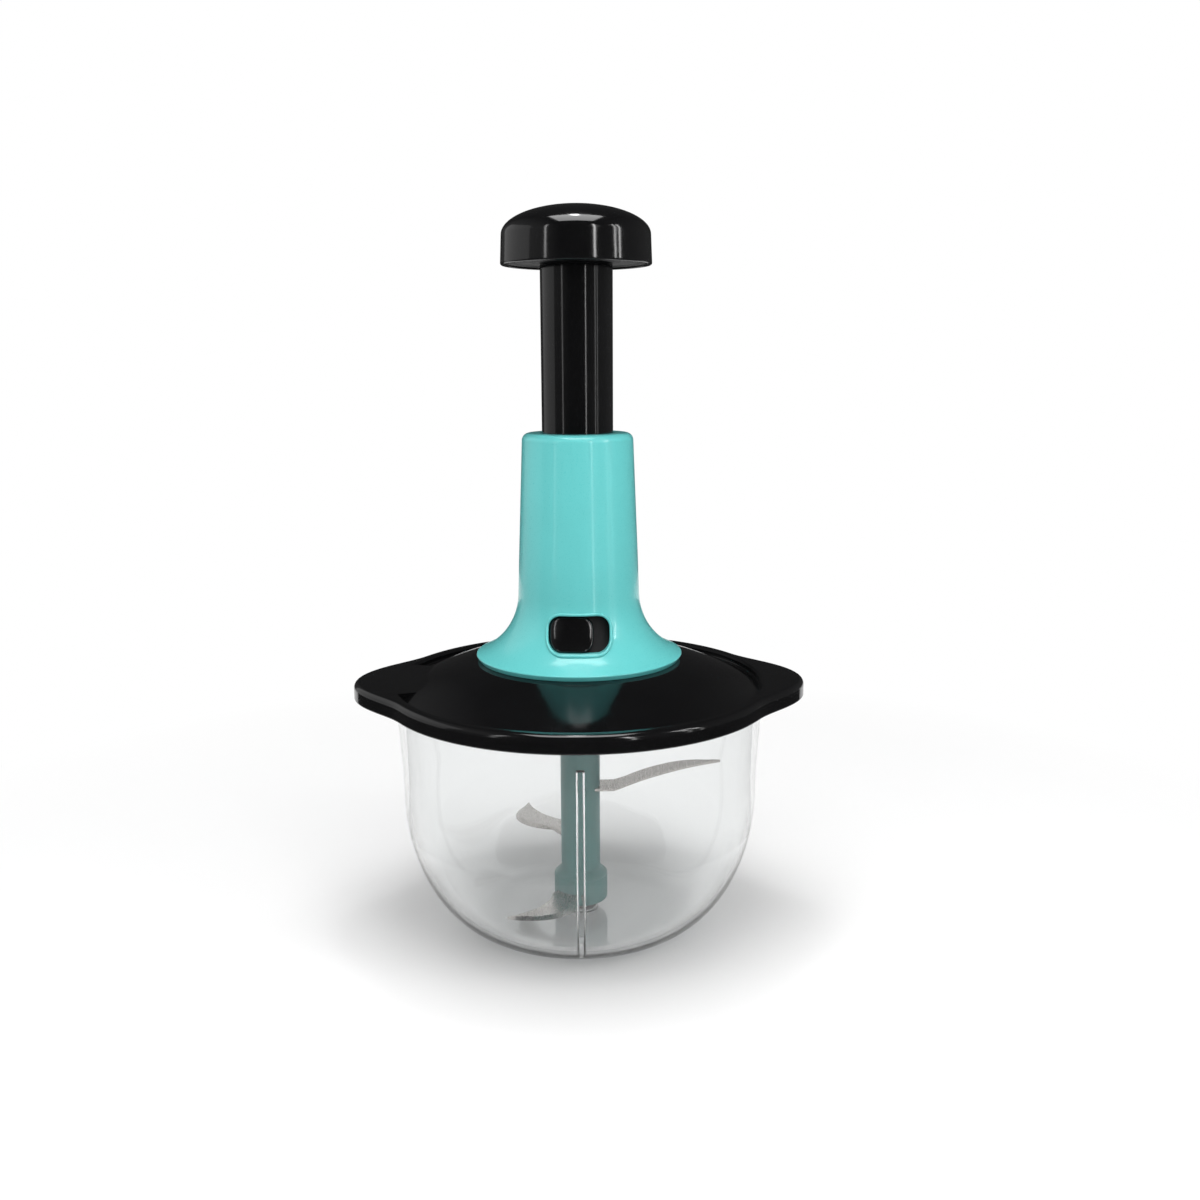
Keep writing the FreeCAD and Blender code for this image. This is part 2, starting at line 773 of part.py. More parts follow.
def make_clutch_hub():
    bottom = cup_bottom + cup_floor + seat_gap
    disc_top = bottom + hub_disc_height
    hub = joined(disc(hub_disc_radius, bottom, disc_top),
                 [disc(hub_neck_radius, disc_top, spindle_bush_under - seat_gap)])
    pin_hole = radial_rod(cross_pin_radius, -hub_neck_radius, hub_neck_radius, rod_pin_height())
    hub = hub.cut([disc(shank_radius, bottom, spindle_bush_under), pin_hole])
    return hub.cut(pawl_set())


def make_rod_pin():
    return radial_rod(cross_pin_radius, -hub_neck_radius, hub_neck_radius, rod_pin_height())


def pawl_set():
    """Sprung pawls, each rooted in the hub and resting on a tooth of the cup."""
    middle = cup_bottom + cup_floor + seat_gap + hub_disc_height / 2
    tip = cup_radius - cup_wall - cup_tooth_depth - moving_gap
    root = hub_disc_radius - pawl_root_depth
    pawl = slab((root, tip), (-pawl_thickness / 2, pawl_thickness / 2),
                (middle - pawl_height / 2, middle + pawl_height / 2))
    pawl.rotate(Vector(root, 0, middle), Vector(0, 0, 1), pawl_lean)
    return around(pawl, pawl_count, 0.0)


def make_clutch_pawls():
    return Part.makeCompound(pawl_set())


def make_clutch_cup():
    """Toothed cup, with a round journal and a hexagonal output under its floor."""
    floor_top = cup_bottom + cup_floor
    cup_top = cup_bottom + cup_height
    bore = cup_radius - cup_wall
    cup = disc(cup_radius, cup_bottom, cup_top).cut(disc(bore, floor_top, cup_top))
    journal = disc(journal_radius, housing_bottom, cup_bottom)
    output = hexagon(hex_across_flats, shaft_top - hex_length + shaft_gap, housing_bottom)
    tooth = Part.Face(Part.makePolygon([
        Vector(bore + cup_wall / 2, -cup_tooth_depth, floor_top),
        Vector(bore - cup_tooth_depth, 0, floor_top),
        Vector(bore + cup_wall / 2, 0, floor_top),
        Vector(bore + cup_wall / 2, -cup_tooth_depth, floor_top),
    ])).extrude(Vector(0, 0, cup_top - floor_top))
    return joined(cup, [journal, output] + around(tooth, cup_tooth_count))


def make_plunger_tube():
    tube = ring(tube_bore, tube_radius, tube_bottom, tube_top)
    web = ring(knob_screw_radius + screw_clearance, tube_bore, web_under, tube_top)
    pin_holes = around(nut_pin(), 2, 90)
    return joined(tube, [web]).cut(pin_holes)


def nut_pin():
    height = tube_bottom + spigot_height / 2
    return radial_rod(cross_pin_radius, nut_pin_inner, tube_radius - pin_sink, height)


def make_nut_pins():
    return Part.makeCompound(around(nut_pin(), 2, 90))


def make_drive_nut():
    """Nut with a twisted slot, two side keys and a front notch that passes the lock's tongue."""
    collar_bottom = tube_bottom - collar_height
    collar = disc(collar_radius, collar_bottom, tube_bottom)
    reach = collar_radius + key_reach
    keys = slab((-reach, reach), (-key_width / 2, key_width / 2), (collar_bottom, tube_bottom))
    spigot = disc(tube_bore, tube_bottom, tube_bottom + spigot_height)
    nut = joined(collar, [keys, spigot])
    slot = twisted_strip(helix_width + 2 * moving_gap, helix_thickness + 2 * moving_gap,
                         collar_bottom - 1, tube_bottom + spigot_height + 1)
    start = tongue_centre_angle - tongue_angle / 2 - notch_margin_angle
    end = tongue_centre_angle + tongue_angle / 2 + notch_margin_angle
    notch = sector(box_section(tube_radius, reach, collar_bottom, tube_bottom), start, end)
    return nut.cut([slot, notch] + around(nut_pin(), 2, 90))


def knob_inner_radius(height):
    """Inner radius of the knob's upright wall at a height."""
    return knob_radius - knob_wall - knob_draft * (height - knob_bottom) / knob_skirt


def dome_edge(inset, start_radius, end_radius):
    """Section edge along the knob's dome, or along its inner face, between two radii."""
    width = knob_radius - knob_draft - inset
    start = math.degrees(math.acos(start_radius / width))
    end = math.degrees(math.acos(end_radius / width))
    return quarter((0, knob_dome_start), width, knob_dome - inset, start, end)


def dome_point(inset, radius):
    """Point of the knob's dome, or of its inner face, at a radius."""
    width = knob_radius - knob_draft - inset
    height = knob_dome_start + (knob_dome - inset) * math.sqrt(1 - (radius / width) ** 2)
    return radius, height


def make_knob_cap():
    """Domed cap with a socket for the tube and a boss for the screw, as one turned section."""
    base_top = knob_bottom + knob_base_recess + knob_base_thickness
    bite_top = tube_top + knob_screw_bite + screw_tip_gap
    socket_radius = tube_radius + knob_socket_wall
    outer = knob_radius - knob_draft
    inner = outer - knob_wall
    skirt_inner = (knob_inner_radius(knob_bottom), knob_bottom)
    crown = (0, knob_dome_start + knob_dome)
    return turned([
        line((knob_radius, knob_bottom), (outer, knob_dome_start)),
        dome_edge(0, outer, 0),
        line(crown, (0, bite_top)),
        line((0, bite_top), (knob_screw_radius, bite_top)),
        line((knob_screw_radius, bite_top), (knob_screw_radius, tube_top)),
        line((knob_screw_radius, tube_top), (knob_boss_radius, tube_top)),
        line((knob_boss_radius, tube_top), dome_point(knob_wall, knob_boss_radius)),
        dome_edge(knob_wall, knob_boss_radius, tube_radius),
        line(dome_point(knob_wall, tube_radius), (tube_radius, base_top)),
        line((tube_radius, base_top), (socket_radius, base_top)),
        line((socket_radius, base_top), dome_point(knob_wall, socket_radius)),
        dome_edge(knob_wall, socket_radius, inner),
        line((inner, knob_dome_start), skirt_inner),
        line(skirt_inner, (knob_radius, knob_bottom)),
    ])


def make_knob_base():
    """Flat ring that closes the knob from below, round the tube."""
    bottom = knob_bottom + knob_base_recess
    top = bottom + knob_base_thickness
    low = (knob_inner_radius(bottom), bottom)
    high = (knob_inner_radius(top), top)
    return turned([
        line((tube_radius, bottom), low),
        line(low, high),
        line(high, (tube_radius, top)),
        line((tube_radius, top), (tube_radius, bottom)),
    ])


def make_knob_screw():
    head_bottom = web_under - knob_screw_head_height
    shank = disc(knob_screw_radius, web_under, tube_top + knob_screw_bite)
    head = disc(knob_screw_head_radius, head_bottom, web_under)
    recess = hexagon(screw_recess_width, head_bottom, head_bottom + knob_screw_head_height / 2)
    return joined(shank, [head]).cut(recess)


def make_spring_cap():
    bottom = rod_top + seat_gap
    top = bottom + cap_thickness
    return joined(disc(cap_radius, bottom, top), [disc(cap_stub_radius, top, top + cap_stub_height)])


def make_return_spring():
    """Space that the coil takes between its cap and the tube's web."""
    bottom = rod_top + seat_gap + cap_thickness
    return ring(spring_radius - spring_wire, spring_radius, bottom, web_under)


def carrier_section():
    """Section of the plate behind the window, which follows the flare at a clearance."""
    front = shell_wall + guide_gap
    back = front + carrier_thickness
    low = window_centre - window_height / 2 - carrier_below_window
    high = window_centre + window_height / 2 + carrier_below_window
    return flare_band(front, back, low, high)


def window_half_angle():
    """Half of the angle that the window spans where the carrier is narrowest."""
    top = window_centre + window_height / 2
    return math.degrees(math.asin(window_width / 2 / flare_radius_at(top, shell_wall + guide_gap)))


def make_lock_carrier():
    """Plate that keeps the window closed at both ends of its travel, with the tongue on its back."""
    half = window_half_angle() + carrier_margin_angle
    plate = sector(carrier_section(), -half - lock_travel_angle, half)
    tongue_top = tongue_bottom + tongue_thickness
    inner = tube_radius + tongue_tip_gap
    outer = flare_radius_at(tongue_top, shell_wall + guide_gap + carrier_thickness / 2)
    start = tongue_centre_angle - tongue_angle / 2
    tongue = sector(box_section(inner, outer, tongue_bottom, tongue_top), start, start + tongue_angle)
    return joined(plate, [tongue])


def make_lock_button():
    """Thumb pad in the window, whose face follows the flare."""
    low = window_centre - window_height / 2
    high = window_centre + window_height / 2
    band = turned(flare_band(button_recess, shell_wall + guide_gap, low, high))
    left = -window_width / 2 + guide_gap
    return band.common(rounded_prism(left, button_right_edge, -guide_gap))


def make_parts():
    blades = make_blades()
    parts = {
        "bowl": make_bowl(),
        "pivot_pin": make_pivot_pin(),
        "blade_shaft": make_blade_shaft(blades),
        "foot_bush": make_foot_bush(),
        "lid": make_lid(),
        "lid_seal": make_lid_seal(),
        "handle_shell": make_handle_shell(),
        "handle_screws": make_handle_screws(),
        "guide_sleeve": make_guide_sleeve(),
        "top_bush": make_top_bush(),
        "spindle_housing": make_spindle_housing(),
        "housing_screws": make_housing_screws(),
        "output_bush": make_output_bush(),
        "shaft_seal": make_shaft_seal(),
        "spindle_bush": make_spindle_bush(),
        "spring_cap": make_spring_cap(),
        "return_spring": make_return_spring(),
        "helix_rod": make_helix_rod(),
        "thrust_washer": make_thrust_washer(),
        "clutch_hub": make_clutch_hub(),
        "rod_pin": make_rod_pin(),
        "clutch_pawls": make_clutch_pawls(),
        "clutch_cup": make_clutch_cup(),
        "plunger_tube": make_plunger_tube(),
        "drive_nut": make_drive_nut(),
        "nut_pins": make_nut_pins(),
        "knob_cap": make_knob_cap(),
        "knob_base": make_knob_base(),
        "knob_screw": make_knob_screw(),
        "lock_button": make_lock_button(),
        "lock_carrier": make_lock_carrier(),
    }
    parts.update(blades)
    return parts


os.makedirs("parts", exist_ok=True)
for name, shape in make_parts().items():
    shape.exportStep("parts/" + name + ".step")
    print(name, len(shape.Solids), shape.isValid(), round(shape.Volume, 1))
print("stroke", round(stroke, 3), "turns", round(stroke / helix_lead, 4))
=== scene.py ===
# Looks of a hand food chopper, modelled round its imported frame. Lengths are in metres, +Z is up.
import json
import math

import bmesh
import bpy
from mathutils import Euler, Matrix, Vector


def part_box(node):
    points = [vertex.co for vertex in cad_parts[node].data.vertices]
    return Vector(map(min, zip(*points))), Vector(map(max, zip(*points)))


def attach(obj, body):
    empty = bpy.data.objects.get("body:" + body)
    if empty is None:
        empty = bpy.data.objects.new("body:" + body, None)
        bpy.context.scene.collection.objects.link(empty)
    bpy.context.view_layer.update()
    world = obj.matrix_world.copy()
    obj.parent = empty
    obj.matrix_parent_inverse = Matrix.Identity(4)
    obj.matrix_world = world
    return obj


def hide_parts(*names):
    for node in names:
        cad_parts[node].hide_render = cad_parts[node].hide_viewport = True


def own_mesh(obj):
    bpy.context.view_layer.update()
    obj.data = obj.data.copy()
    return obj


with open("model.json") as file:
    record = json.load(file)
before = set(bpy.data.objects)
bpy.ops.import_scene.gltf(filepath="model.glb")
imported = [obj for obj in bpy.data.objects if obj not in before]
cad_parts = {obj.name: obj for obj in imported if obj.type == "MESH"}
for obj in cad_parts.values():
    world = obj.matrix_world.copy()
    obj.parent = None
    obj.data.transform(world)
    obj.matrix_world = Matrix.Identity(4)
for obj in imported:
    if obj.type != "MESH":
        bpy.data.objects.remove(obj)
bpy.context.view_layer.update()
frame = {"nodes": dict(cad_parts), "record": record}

bl_info = {
    "name": "Plunger Food Chopper",
    "version": (1, 0, 0),
    "blender": (4, 5, 0),
    "location": "3D Viewport > Sidebar > Chopper",
    "description": "Models the visible pieces of a hand food chopper, with their finishes, lights and camera",
    "category": "Object",
}

boxes = {name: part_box(name) for name in frame["nodes"]}

MM = 0.001
# Points nearer to each other than this are one point.
WELD = 0.001 * MM
# From the end of a rounding to the point that holds the flat face beside it.
HOLD = 0.1 * MM
# Rounding on a plain moulded edge.
FINE = 0.3 * MM
# Steps of a rounded corner that is seen from near.
CORNER_STEPS = 8
WHITE = (1.0, 1.0, 1.0, 1.0)

# Softboxes: name, azimuth in degrees from the camera's side, distance, height, width, tall, brightness,
# and whether gloss shows them.
SOFTBOXES = (
    ("strip_right", 28, 0.75, 0.35, 0.03, 0.7, 5.5, True),
    ("strip_side", 60, 0.75, 0.35, 0.03, 0.7, 2.5, True),
    ("strip_corner", 68, 0.75, 0.35, 0.03, 0.7, 2.0, True),
    ("strip_left", -46, 0.75, 0.35, 0.04, 0.6, 2.0, True),
    ("high_right", 27, 0.75, 0.55, 0.04, 0.36, 8.0, True),
    ("high_side", 60, 0.75, 0.55, 0.035, 0.36, 9.0, True),
    ("high_corner", 68, 0.75, 0.55, 0.035, 0.36, 10.0, True),
    ("high_left", -46, 0.75, 0.55, 0.04, 0.36, 3.0, True),
    ("panel_right", 30, 0.8, 0.6, 0.36, 0.4, 0.6, True),
    ("panel_left", -105, 0.75, 0.35, 0.9, 0.7, 0.4, True),
    ("ceiling", 0, 0.1, 0.95, 0.5, 0.5, 5.0, True),
    ("spot", 185, 0.1, 0.9, 0.06, 0.06, 40.0, True),
    ("front_fill", -10, 0.9, 0.6, 0.9, 0.6, 0.75, False),
    ("upper_left", -50, 0.75, 0.85, 0.6, 0.6, 0.7, False),
    ("upper_right", 50, 0.75, 0.85, 0.6, 0.6, 0.7, False),
)
# Blades: node, where the root starts, where the tip ends, tilt and azimuth in degrees. The lower blade
# starts outside the bush in the shaft's foot, and the others are set through the shaft.
BLADES = (
    ("lower_blade", 5.75 * MM, 53.0 * MM, 9.0, 240.0),
    ("middle_blade", -5.0 * MM, 60.0 * MM, -6.0, 120.0),
    ("upper_blade", -5.0 * MM, 62.0 * MM, 15.0, 0.0),
)


def low(node):
    """Lowest height of a CAD node."""
    return boxes[node][0].z


def high(node):
    """Highest height of a CAD node."""
    return boxes[node][1].z


def reach(node):
    """How far a CAD node reaches from the axis along +X."""
    return boxes[node][1].x


def colour(code):
    """Linear colour of an sRGB hex code."""
    channels = [value / 255 for value in bytes.fromhex(code)]
    return [value / 12.92 if value <= 0.04045 else ((value + 0.055) / 1.055) ** 2.4 for value in channels]


def length(name, description, value):
    """Length property in metres."""
    return bpy.props.FloatProperty(name=name, description=description, default=value, min=0.0,
                                   unit="LENGTH", precision=5)


def angle(name, description, degrees):
    """Angle property, given in degrees."""
    return bpy.props.FloatProperty(name=name, description=description, default=math.radians(degrees),
                                   unit="ROTATION", precision=4)


def share(name, description, value):
    """Plain number property."""
    return bpy.props.FloatProperty(name=name, description=description, default=value, min=0.0)


def tint(name, description, code):
    """Colour property, given as an sRGB hex code."""
    return bpy.props.FloatVectorProperty(name=name, description=description, default=colour(code),
                                         subtype="COLOR", min=0.0, max=1.0)


class ChopperBowlSizes(bpy.types.PropertyGroup):
    """Sizes of the clear bowl."""
    height: length("Height", "From the base to the rim", high("bowl"))
    rim_radius: length("Rim radius", "Outer radius at the rim", reach("bowl"))
    lean_height: length("Lean height", "Height over which the upper wall starts to lean out", 16.0 * MM)
    shoulder_radius: length("Shoulder radius", "Outer radius where the upper wall starts", 77.5 * MM)
    shoulder_height: length("Shoulder height", "Height where the upper wall starts", 62.5 * MM)
    base_radius: length("Base radius", "Radius of the flat base", 36.4 * MM)
    wall: length("Wall", "Thickness of the wall", 2.2 * MM)
    floor: length("Floor", "Thickness of the floor", 3.0 * MM)
    rim_round: length("Rim rounding", "Radius on both edges of the rim", 0.7 * MM)
    boss_radius: length("Boss radius", "Radius of the boss under the blades", 7.0 * MM)
    boss_top: length("Boss top", "Height of the boss", 8.0 * MM)
    pin_bore: length("Pin bore", "Radius of the hole for the pivot pin", 2.56 * MM)
    rib_width: length("Rib width", "Width of the upright ribs", 3.4 * MM)
    rib_depth: length("Rib depth", "How far a rib stands into the bowl", 3.0 * MM)
    rib_below_rim: length("Rib below rim", "Gap from a rib's top to the rim", 11.2 * MM)
    rib_round: length("Rib rounding", "Radius on a rib's inner edges", 0.9 * MM)


class ChopperLidSizes(bpy.types.PropertyGroup):
    """Sizes of the lid."""
    radius: length("Radius", "Radius of the lid between its ears", 84.5 * MM)
    ear_half_angle: angle("Ear half angle", "Half of the angle that an ear spans", 30.0)
    bottom: length("Bottom", "Height of the skirt's lower edge", 103.8 * MM)
    crest: length("Crest", "Height of the rim's flat top", 111.5 * MM)
    crest_width: length("Crest width", "Width of the raised rim", 5.5 * MM)
    crest_slope: length("Crest slope", "Width of the slope inside the raised rim", 1.0 * MM)
    trough_top: length("Trough top", "Height of the trough inside the rim", 108.5 * MM)
    dome_foot: length("Dome foot", "Radius where the trough meets the dome", 78.0 * MM)
    dome_deck: length("Deck radius", "Radius of the flat deck under the handle", 46.0 * MM)
    dome_bulge: length("Dome bulge", "How far the dome bows out", 0.86 * MM)
    wall: length("Wall", "Thickness of the lid", 2.4 * MM)
    edge_round: length("Edge rounding", "Radius on the rim's upper outer edge", 2.6 * MM)
    lower_round: length("Lower rounding", "Radius on the rim's lower outer edge", 0.8 * MM)
    skirt_wall: length("Skirt wall", "Thickness of the outer skirt", 4.0 * MM)
    plug_radius: length("Plug radius", "Outer radius of the plug that enters the bowl", 75.39 * MM)
    plug_wall: length("Plug wall", "Thickness of the plug", 2.4 * MM)
    rim_under: length("Rim seat", "Height of the face above the bowl's rim", 106.5 * MM)
    ear_wall: length("Ear wall", "Wall round the pocket under an ear", 2.6 * MM)
    ear_roof: length("Ear roof", "Thickness above the pocket under an ear", 3.0 * MM)
    pocket_half_angle: angle("Pocket half angle", "Half of the angle that a pocket spans", 14.0)
    pad_inner: length("Pad inner radius", "Radius where the flat pad by the left ear ends", 66.0 * MM)
    pad_half_angle: angle("Pad half angle", "Half of the angle that the flat pad spans", 18.0)
    pad_corner: length("Pad corner", "Radius of the pad's inner corners", 7.0 * MM)
    pad_drop: length("Pad drop", "How far the pad lies below the raised rim", 0.05 * MM)


class ChopperHandleSizes(bpy.types.PropertyGroup):
    """Sizes of the handle and its lock button."""
    wall: length("Wall", "Thickness of the shell", 2.0 * MM)
    top_wall: length("Top wall", "Thickness of the top", 2.3 * MM)
    top_radius: length("Top radius", "Outer radius at the top", 23.4 * MM)
    waist_radius: length("Waist radius", "Outer radius where the flare starts", 26.1 * MM)
    waist_height: length("Waist height", "Height where the flare starts", 150.0 * MM)
    shoulder: length("Shoulder", "Radius of the top outer edge", 3.2 * MM)
    skirt_edge: length("Skirt edge", "Height of the skirt's upright edge", 2.3 * MM)
    skirt_undercut: length("Skirt undercut", "How far the skirt's edge slopes in below", 1.4 * MM)
    opening: length("Opening", "Radius of the hole for the tube", 15.4 * MM)
    window_width: length("Window width", "Width of the lock's window", 25.2 * MM)
    window_height: length("Window height", "Height of the lock's window", 14.2 * MM)
    window_corner: length("Window corner", "Corner radius of the lock's window", 5.2 * MM)
    window_centre: length("Window centre", "Height of the window's middle", 137.2 * MM)
    lip_width: length("Lip width", "Width of the bead round the window", 1.3 * MM)
    lip_rise: length("Lip rise", "How far the bead's middle stands out of the shell", 0.25 * MM)
    button_gap: length("Button gap", "Gap from the button to the window's edge", 0.4 * MM)
    button_recess: length("Button recess", "How far the button's face lies below the shell's", 0.2 * MM)
    button_depth: length("Button depth", "Thickness of the button", 2.2 * MM)
    button_round: length("Button rounding", "Radius on the edge of the button's face", 0.9 * MM)


class ChopperPlungerSizes(bpy.types.PropertyGroup):
    """Sizes of the tube, the palm knob and the return spring's wire."""
    tube_wall: length("Tube wall", "Thickness of the tube", 2.0 * MM)
    tube_web: length("Tube web", "Thickness of the tube's closed end", 3.0 * MM)
    knob_draft: length("Knob draft", "How much the knob narrows up to its dome", 0.5 * MM)
    knob_skirt: length("Knob skirt", "Height of the knob's upright wall", 12.0 * MM)
    knob_wall: length("Knob wall", "Thickness of the knob", 2.2 * MM)
    knob_edge: length("Knob edge", "Radius of the knob's lower outer edge", 0.8 * MM)
    groove_depth: length("Groove depth", "Depth of the groove under the knob", 0.6 * MM)
    spring_wire: length("Spring wire", "Radius of the return spring's wire", 0.55 * MM)


class ChopperHousingSizes(bpy.types.PropertyGroup):
    """Sizes of the housing and the seal under the lid."""
    body_radius: length("Body radius", "Outer radius of the housing's body", 16.5 * MM)
    nose_radius: length("Nose radius", "Outer radius of the housing's nose", 12.0 * MM)
    nose_height: length("Nose height", "How far the nose reaches below the body", 4.0 * MM)
    floor: length("Floor", "Thickness of the housing's floor", 3.0 * MM)
    flange: length("Flange", "Thickness of the housing's flange", 2.5 * MM)
    wall: length("Wall", "Thickness of the housing's wall", 2.3 * MM)
    journal: length("Journal", "Radius of the hole for the output bush", 9.45 * MM)
    seal_lips: length("Seal lips", "How far the seal's lips stand out", 0.9 * MM)
    lip_round: length("Lip rounding", "Radius on the seal's lips", 0.15 * MM)


class ChopperBladeSizes(bpy.types.PropertyGroup):
    """Sizes of the blade shaft and the blades."""
    shaft_radius: length("Shaft radius", "Radius of the shaft", 8.75 * MM)
    hub_radius: length("Hub radius", "Radius of the shaft's wide foot", 12.0 * MM)
    hub_height: length("Hub height", "Height of the shaft's wide foot", 12.0 * MM)
    bore: length("Foot bore", "Radius of the hole for the foot bush", 4.55 * MM)
    hexagon: length("Hexagon", "Width across flats of the socket", 9.6 * MM)
    socket_depth: length("Socket depth", "Depth of the socket in the shaft's top", 15.0 * MM)
    thickness: length("Thickness", "Thickness of a blade", 1.2 * MM)
    root_half: length("Root half width", "Half of a blade's width at its root", 6.0 * MM)
    bend: length("Bend", "Distance from the axis to a blade's bend", 15.0 * MM)
    bow: length("Bow", "How far the cutting edge bows forward", 12.0 * MM)
    width: length("Width", "Width of a blade at its middle", 13.0 * MM)
    sweep: length("Sweep", "How far a blade's tip lies back", 5.0 * MM)
    grind: length("Grind", "Width of the ground bevel", 2.6 * MM)
    edge: length("Edge", "Thickness left at the cutting edge", 0.12 * MM)


class ChopperColours(bpy.types.PropertyGroup):
    """Base colours of the finishes."""
    clear: tint("Clear bowl", "Cast of the clear plastic", "FAFBFB")
    black: tint("Black gloss", "Gloss black plastic", "0C0C0D")
    matt: tint("Black matt", "Matt black plastic", "161617")
    teal: tint("Teal shell", "Handle shell", "66CBCA")
    # The shaft's own duller teal, darkened further with painted shade from the lid above.
    shaft: tint("Teal shaft", "Blade shaft", "437471")
    nylon: tint("Nylon", "Natural nylon", "E6E4DA")
    steel: tint("Blade steel", "Stainless steel", "ACA8A4")
    silicone: tint("Silicone", "Seals", "D5DADA")


class ChopperStudio(bpy.types.PropertyGroup):
    """Lights and camera."""
    ambient: share("Ambient", "Strength of the even light from all round", 0.45)
    camera_distance: length("Camera distance", "Level distance from the axis", 510.0 * MM)
    camera_height: length("Camera height", "Height above the base", 248.25 * MM)
    camera_pitch: angle("Camera pitch", "Downward tilt", 11.35)
    camera_pan: angle("Camera pan", "Turn to the right", 1.03)
    camera_roll: angle("Camera roll", "Turn about the line of sight", 0.25)
    focal_length: share("Focal length", "Lens in millimetres", 36.0)


def deselect():
    """Object mode with nothing selected."""
    if bpy.context.mode != "OBJECT":
        bpy.ops.object.mode_set(mode="OBJECT")
    bpy.ops.object.select_all(action="DESELECT")


def choose(piece):
    """Selects one piece and makes it active."""
    deselect()
    piece.select_set(True)
    bpy.context.view_layer.objects.active = piece


def edit(piece):
    """Edit mode on one piece, with nothing selected."""
    choose(piece)
    bpy.ops.object.mode_set(mode="EDIT")
    bpy.ops.mesh.select_all(action="DESELECT")


def select_parts(piece, kind, test):
    """In edit mode, selects the vertices, edges or faces that pass a test."""
    modes = {"verts": "VERT", "edges": "EDGE", "faces": "FACE"}
    bpy.ops.mesh.select_mode(type=modes[kind])
    bpy.ops.mesh.select_all(action="DESELECT")
    form = bmesh.from_edit_mesh(piece.data)
    for part in getattr(form, kind):
        if test(part):
            part.select_set(True)
    form.select_flush_mode()
    bmesh.update_edit_mesh(piece.data)


def weld():
    """In edit mode, merges the points that meet and leaves everything selected."""
    bpy.ops.mesh.select_all(action="SELECT")
    bpy.ops.mesh.remove_doubles(threshold=WELD)
    bpy.ops.mesh.select_all(action="SELECT")


def new_piece(name):
    """The object that was just added, named with its mesh."""
    piece = bpy.context.object
    piece.name = name
    piece.data.name = name
    return piece


def move_points(piece, rule):
    """Moves each vertex to where a rule puts it."""
    for vertex in piece.data.vertices:
        vertex.co = rule(vertex.co)
    piece.data.update()


def corner_arc(before, corner, after, radius, steps):
    """Points of the arc that rounds one corner of a section, held by a point on either side,
    so that the smooth shading of the arc doesn't run out over the flat faces beside it."""
    corner = Vector(corner)
    back = (Vector(before) - corner).normalized()
    ahead = (Vector(after) - corner).normalized()
    half = back.angle(ahead) / 2
    centre = corner + (back + ahead).normalized() * radius / math.sin(half)
    tangent = radius / math.tan(half)
    first = corner + back * tangent - centre
    last = corner + ahead * tangent - centre
    sweep = first.angle(last)
    points = [tuple(corner + back * (tangent + HOLD))]
    for index in range(steps + 1):
        swing = sweep * index / steps
        spoke = (first * math.sin(sweep - swing) + last * math.sin(swing)) / math.sin(sweep)
        points.append(tuple(centre + spoke))
    points.append(tuple(corner + ahead * (tangent + HOLD)))
    return points


def section(corners, steps=4):
    """Points of an open or closed section; a corner with a third value is rounded to that radius."""
    points = []
    count = len(corners)
    for index, corner in enumerate(corners):
        if len(corner) == 2:
            points.append(tuple(corner))
            continue
        before = corners[index - 1][:2]
        after = corners[(index + 1) % count][:2]
        points.extend(corner_arc(before, corner[:2], after, corner[2], steps))
    return points


def ellipse_arc(centre, width, height, start, end, steps):
    """Points of part of an ellipse, between two angles in degrees."""
    points = []
    for index in range(steps + 1):
        swing = math.radians(start + (end - start) * index / steps)
        points.append((centre[0] + width * math.cos(swing), centre[1] + height * math.sin(swing)))
    return points


def three_point_arc(first, middle, last, steps):
    """Points of the arc through three flat points."""
    ax, ay = first
    bx, by = middle
    cx, cy = last
    scale = 2 * (ax * (by - cy) + bx * (cy - ay) + cx * (ay - by))
    sums = [x * x + y * y for x, y in (first, middle, last)]
    centre_x = (sums[0] * (by - cy) + sums[1] * (cy - ay) + sums[2] * (ay - by)) / scale
    centre_y = (sums[0] * (cx - bx) + sums[1] * (ax - cx) + sums[2] * (bx - ax)) / scale
    radius = math.hypot(ax - centre_x, ay - centre_y)
    start = math.atan2(ay - centre_y, ax - centre_x)
    sweep = math.atan2(cy - centre_y, cx - centre_x) - start
    sweep = (sweep + math.pi) % math.tau - math.pi
    points = []
    for index in range(steps + 1):
        turn_to = start + sweep * index / steps
        points.append((centre_x + radius * math.cos(turn_to), centre_y + radius * math.sin(turn_to)))
    return points


def draw_line(name, points):
    """Mesh line drawn by extruding one corner from point to point."""
    deselect()
    bpy.ops.mesh.primitive_plane_add(size=MM)
    piece = new_piece(name)
    bpy.ops.object.mode_set(mode="EDIT")
    bpy.ops.mesh.select_mode(type="VERT")
    bpy.ops.mesh.merge(type="CENTER")
    bpy.ops.transform.translate(value=points[0])
    for start, end in zip(points, points[1:]):
        step = [after - before for before, after in zip(start, end)]
        bpy.ops.mesh.extrude_vertices_move(TRANSFORM_OT_translate={"value": step})
    return piece


def turn(name, points, steps, start=0.0, sweep=math.tau, closed=True):
    """Section spun round the Z axis, all the way or through part of a turn with its ends closed."""
    spoke = (math.cos(start), math.sin(start))
    if closed:
        points = points + points[:1]
    piece = draw_line(name, [(spoke[0] * radius, spoke[1] * radius, height) for radius, height in points])
    weld()
    bpy.ops.mesh.spin(steps=steps, angle=-sweep, center=(0, 0, 0), axis=(0, 0, 1))
    weld()
    if sweep < math.tau:
        bpy.ops.mesh.fill_holes(sides=0)
    tidy_normals(piece)
    return piece


def tidy_normals(piece):
    """Points every face outwards and leaves edit mode."""
    if bpy.context.mode == "OBJECT":
        edit(piece)
    bpy.ops.mesh.select_all(action="SELECT")
    bpy.ops.mesh.normals_make_consistent(inside=False)
    bpy.ops.object.mode_set(mode="OBJECT")


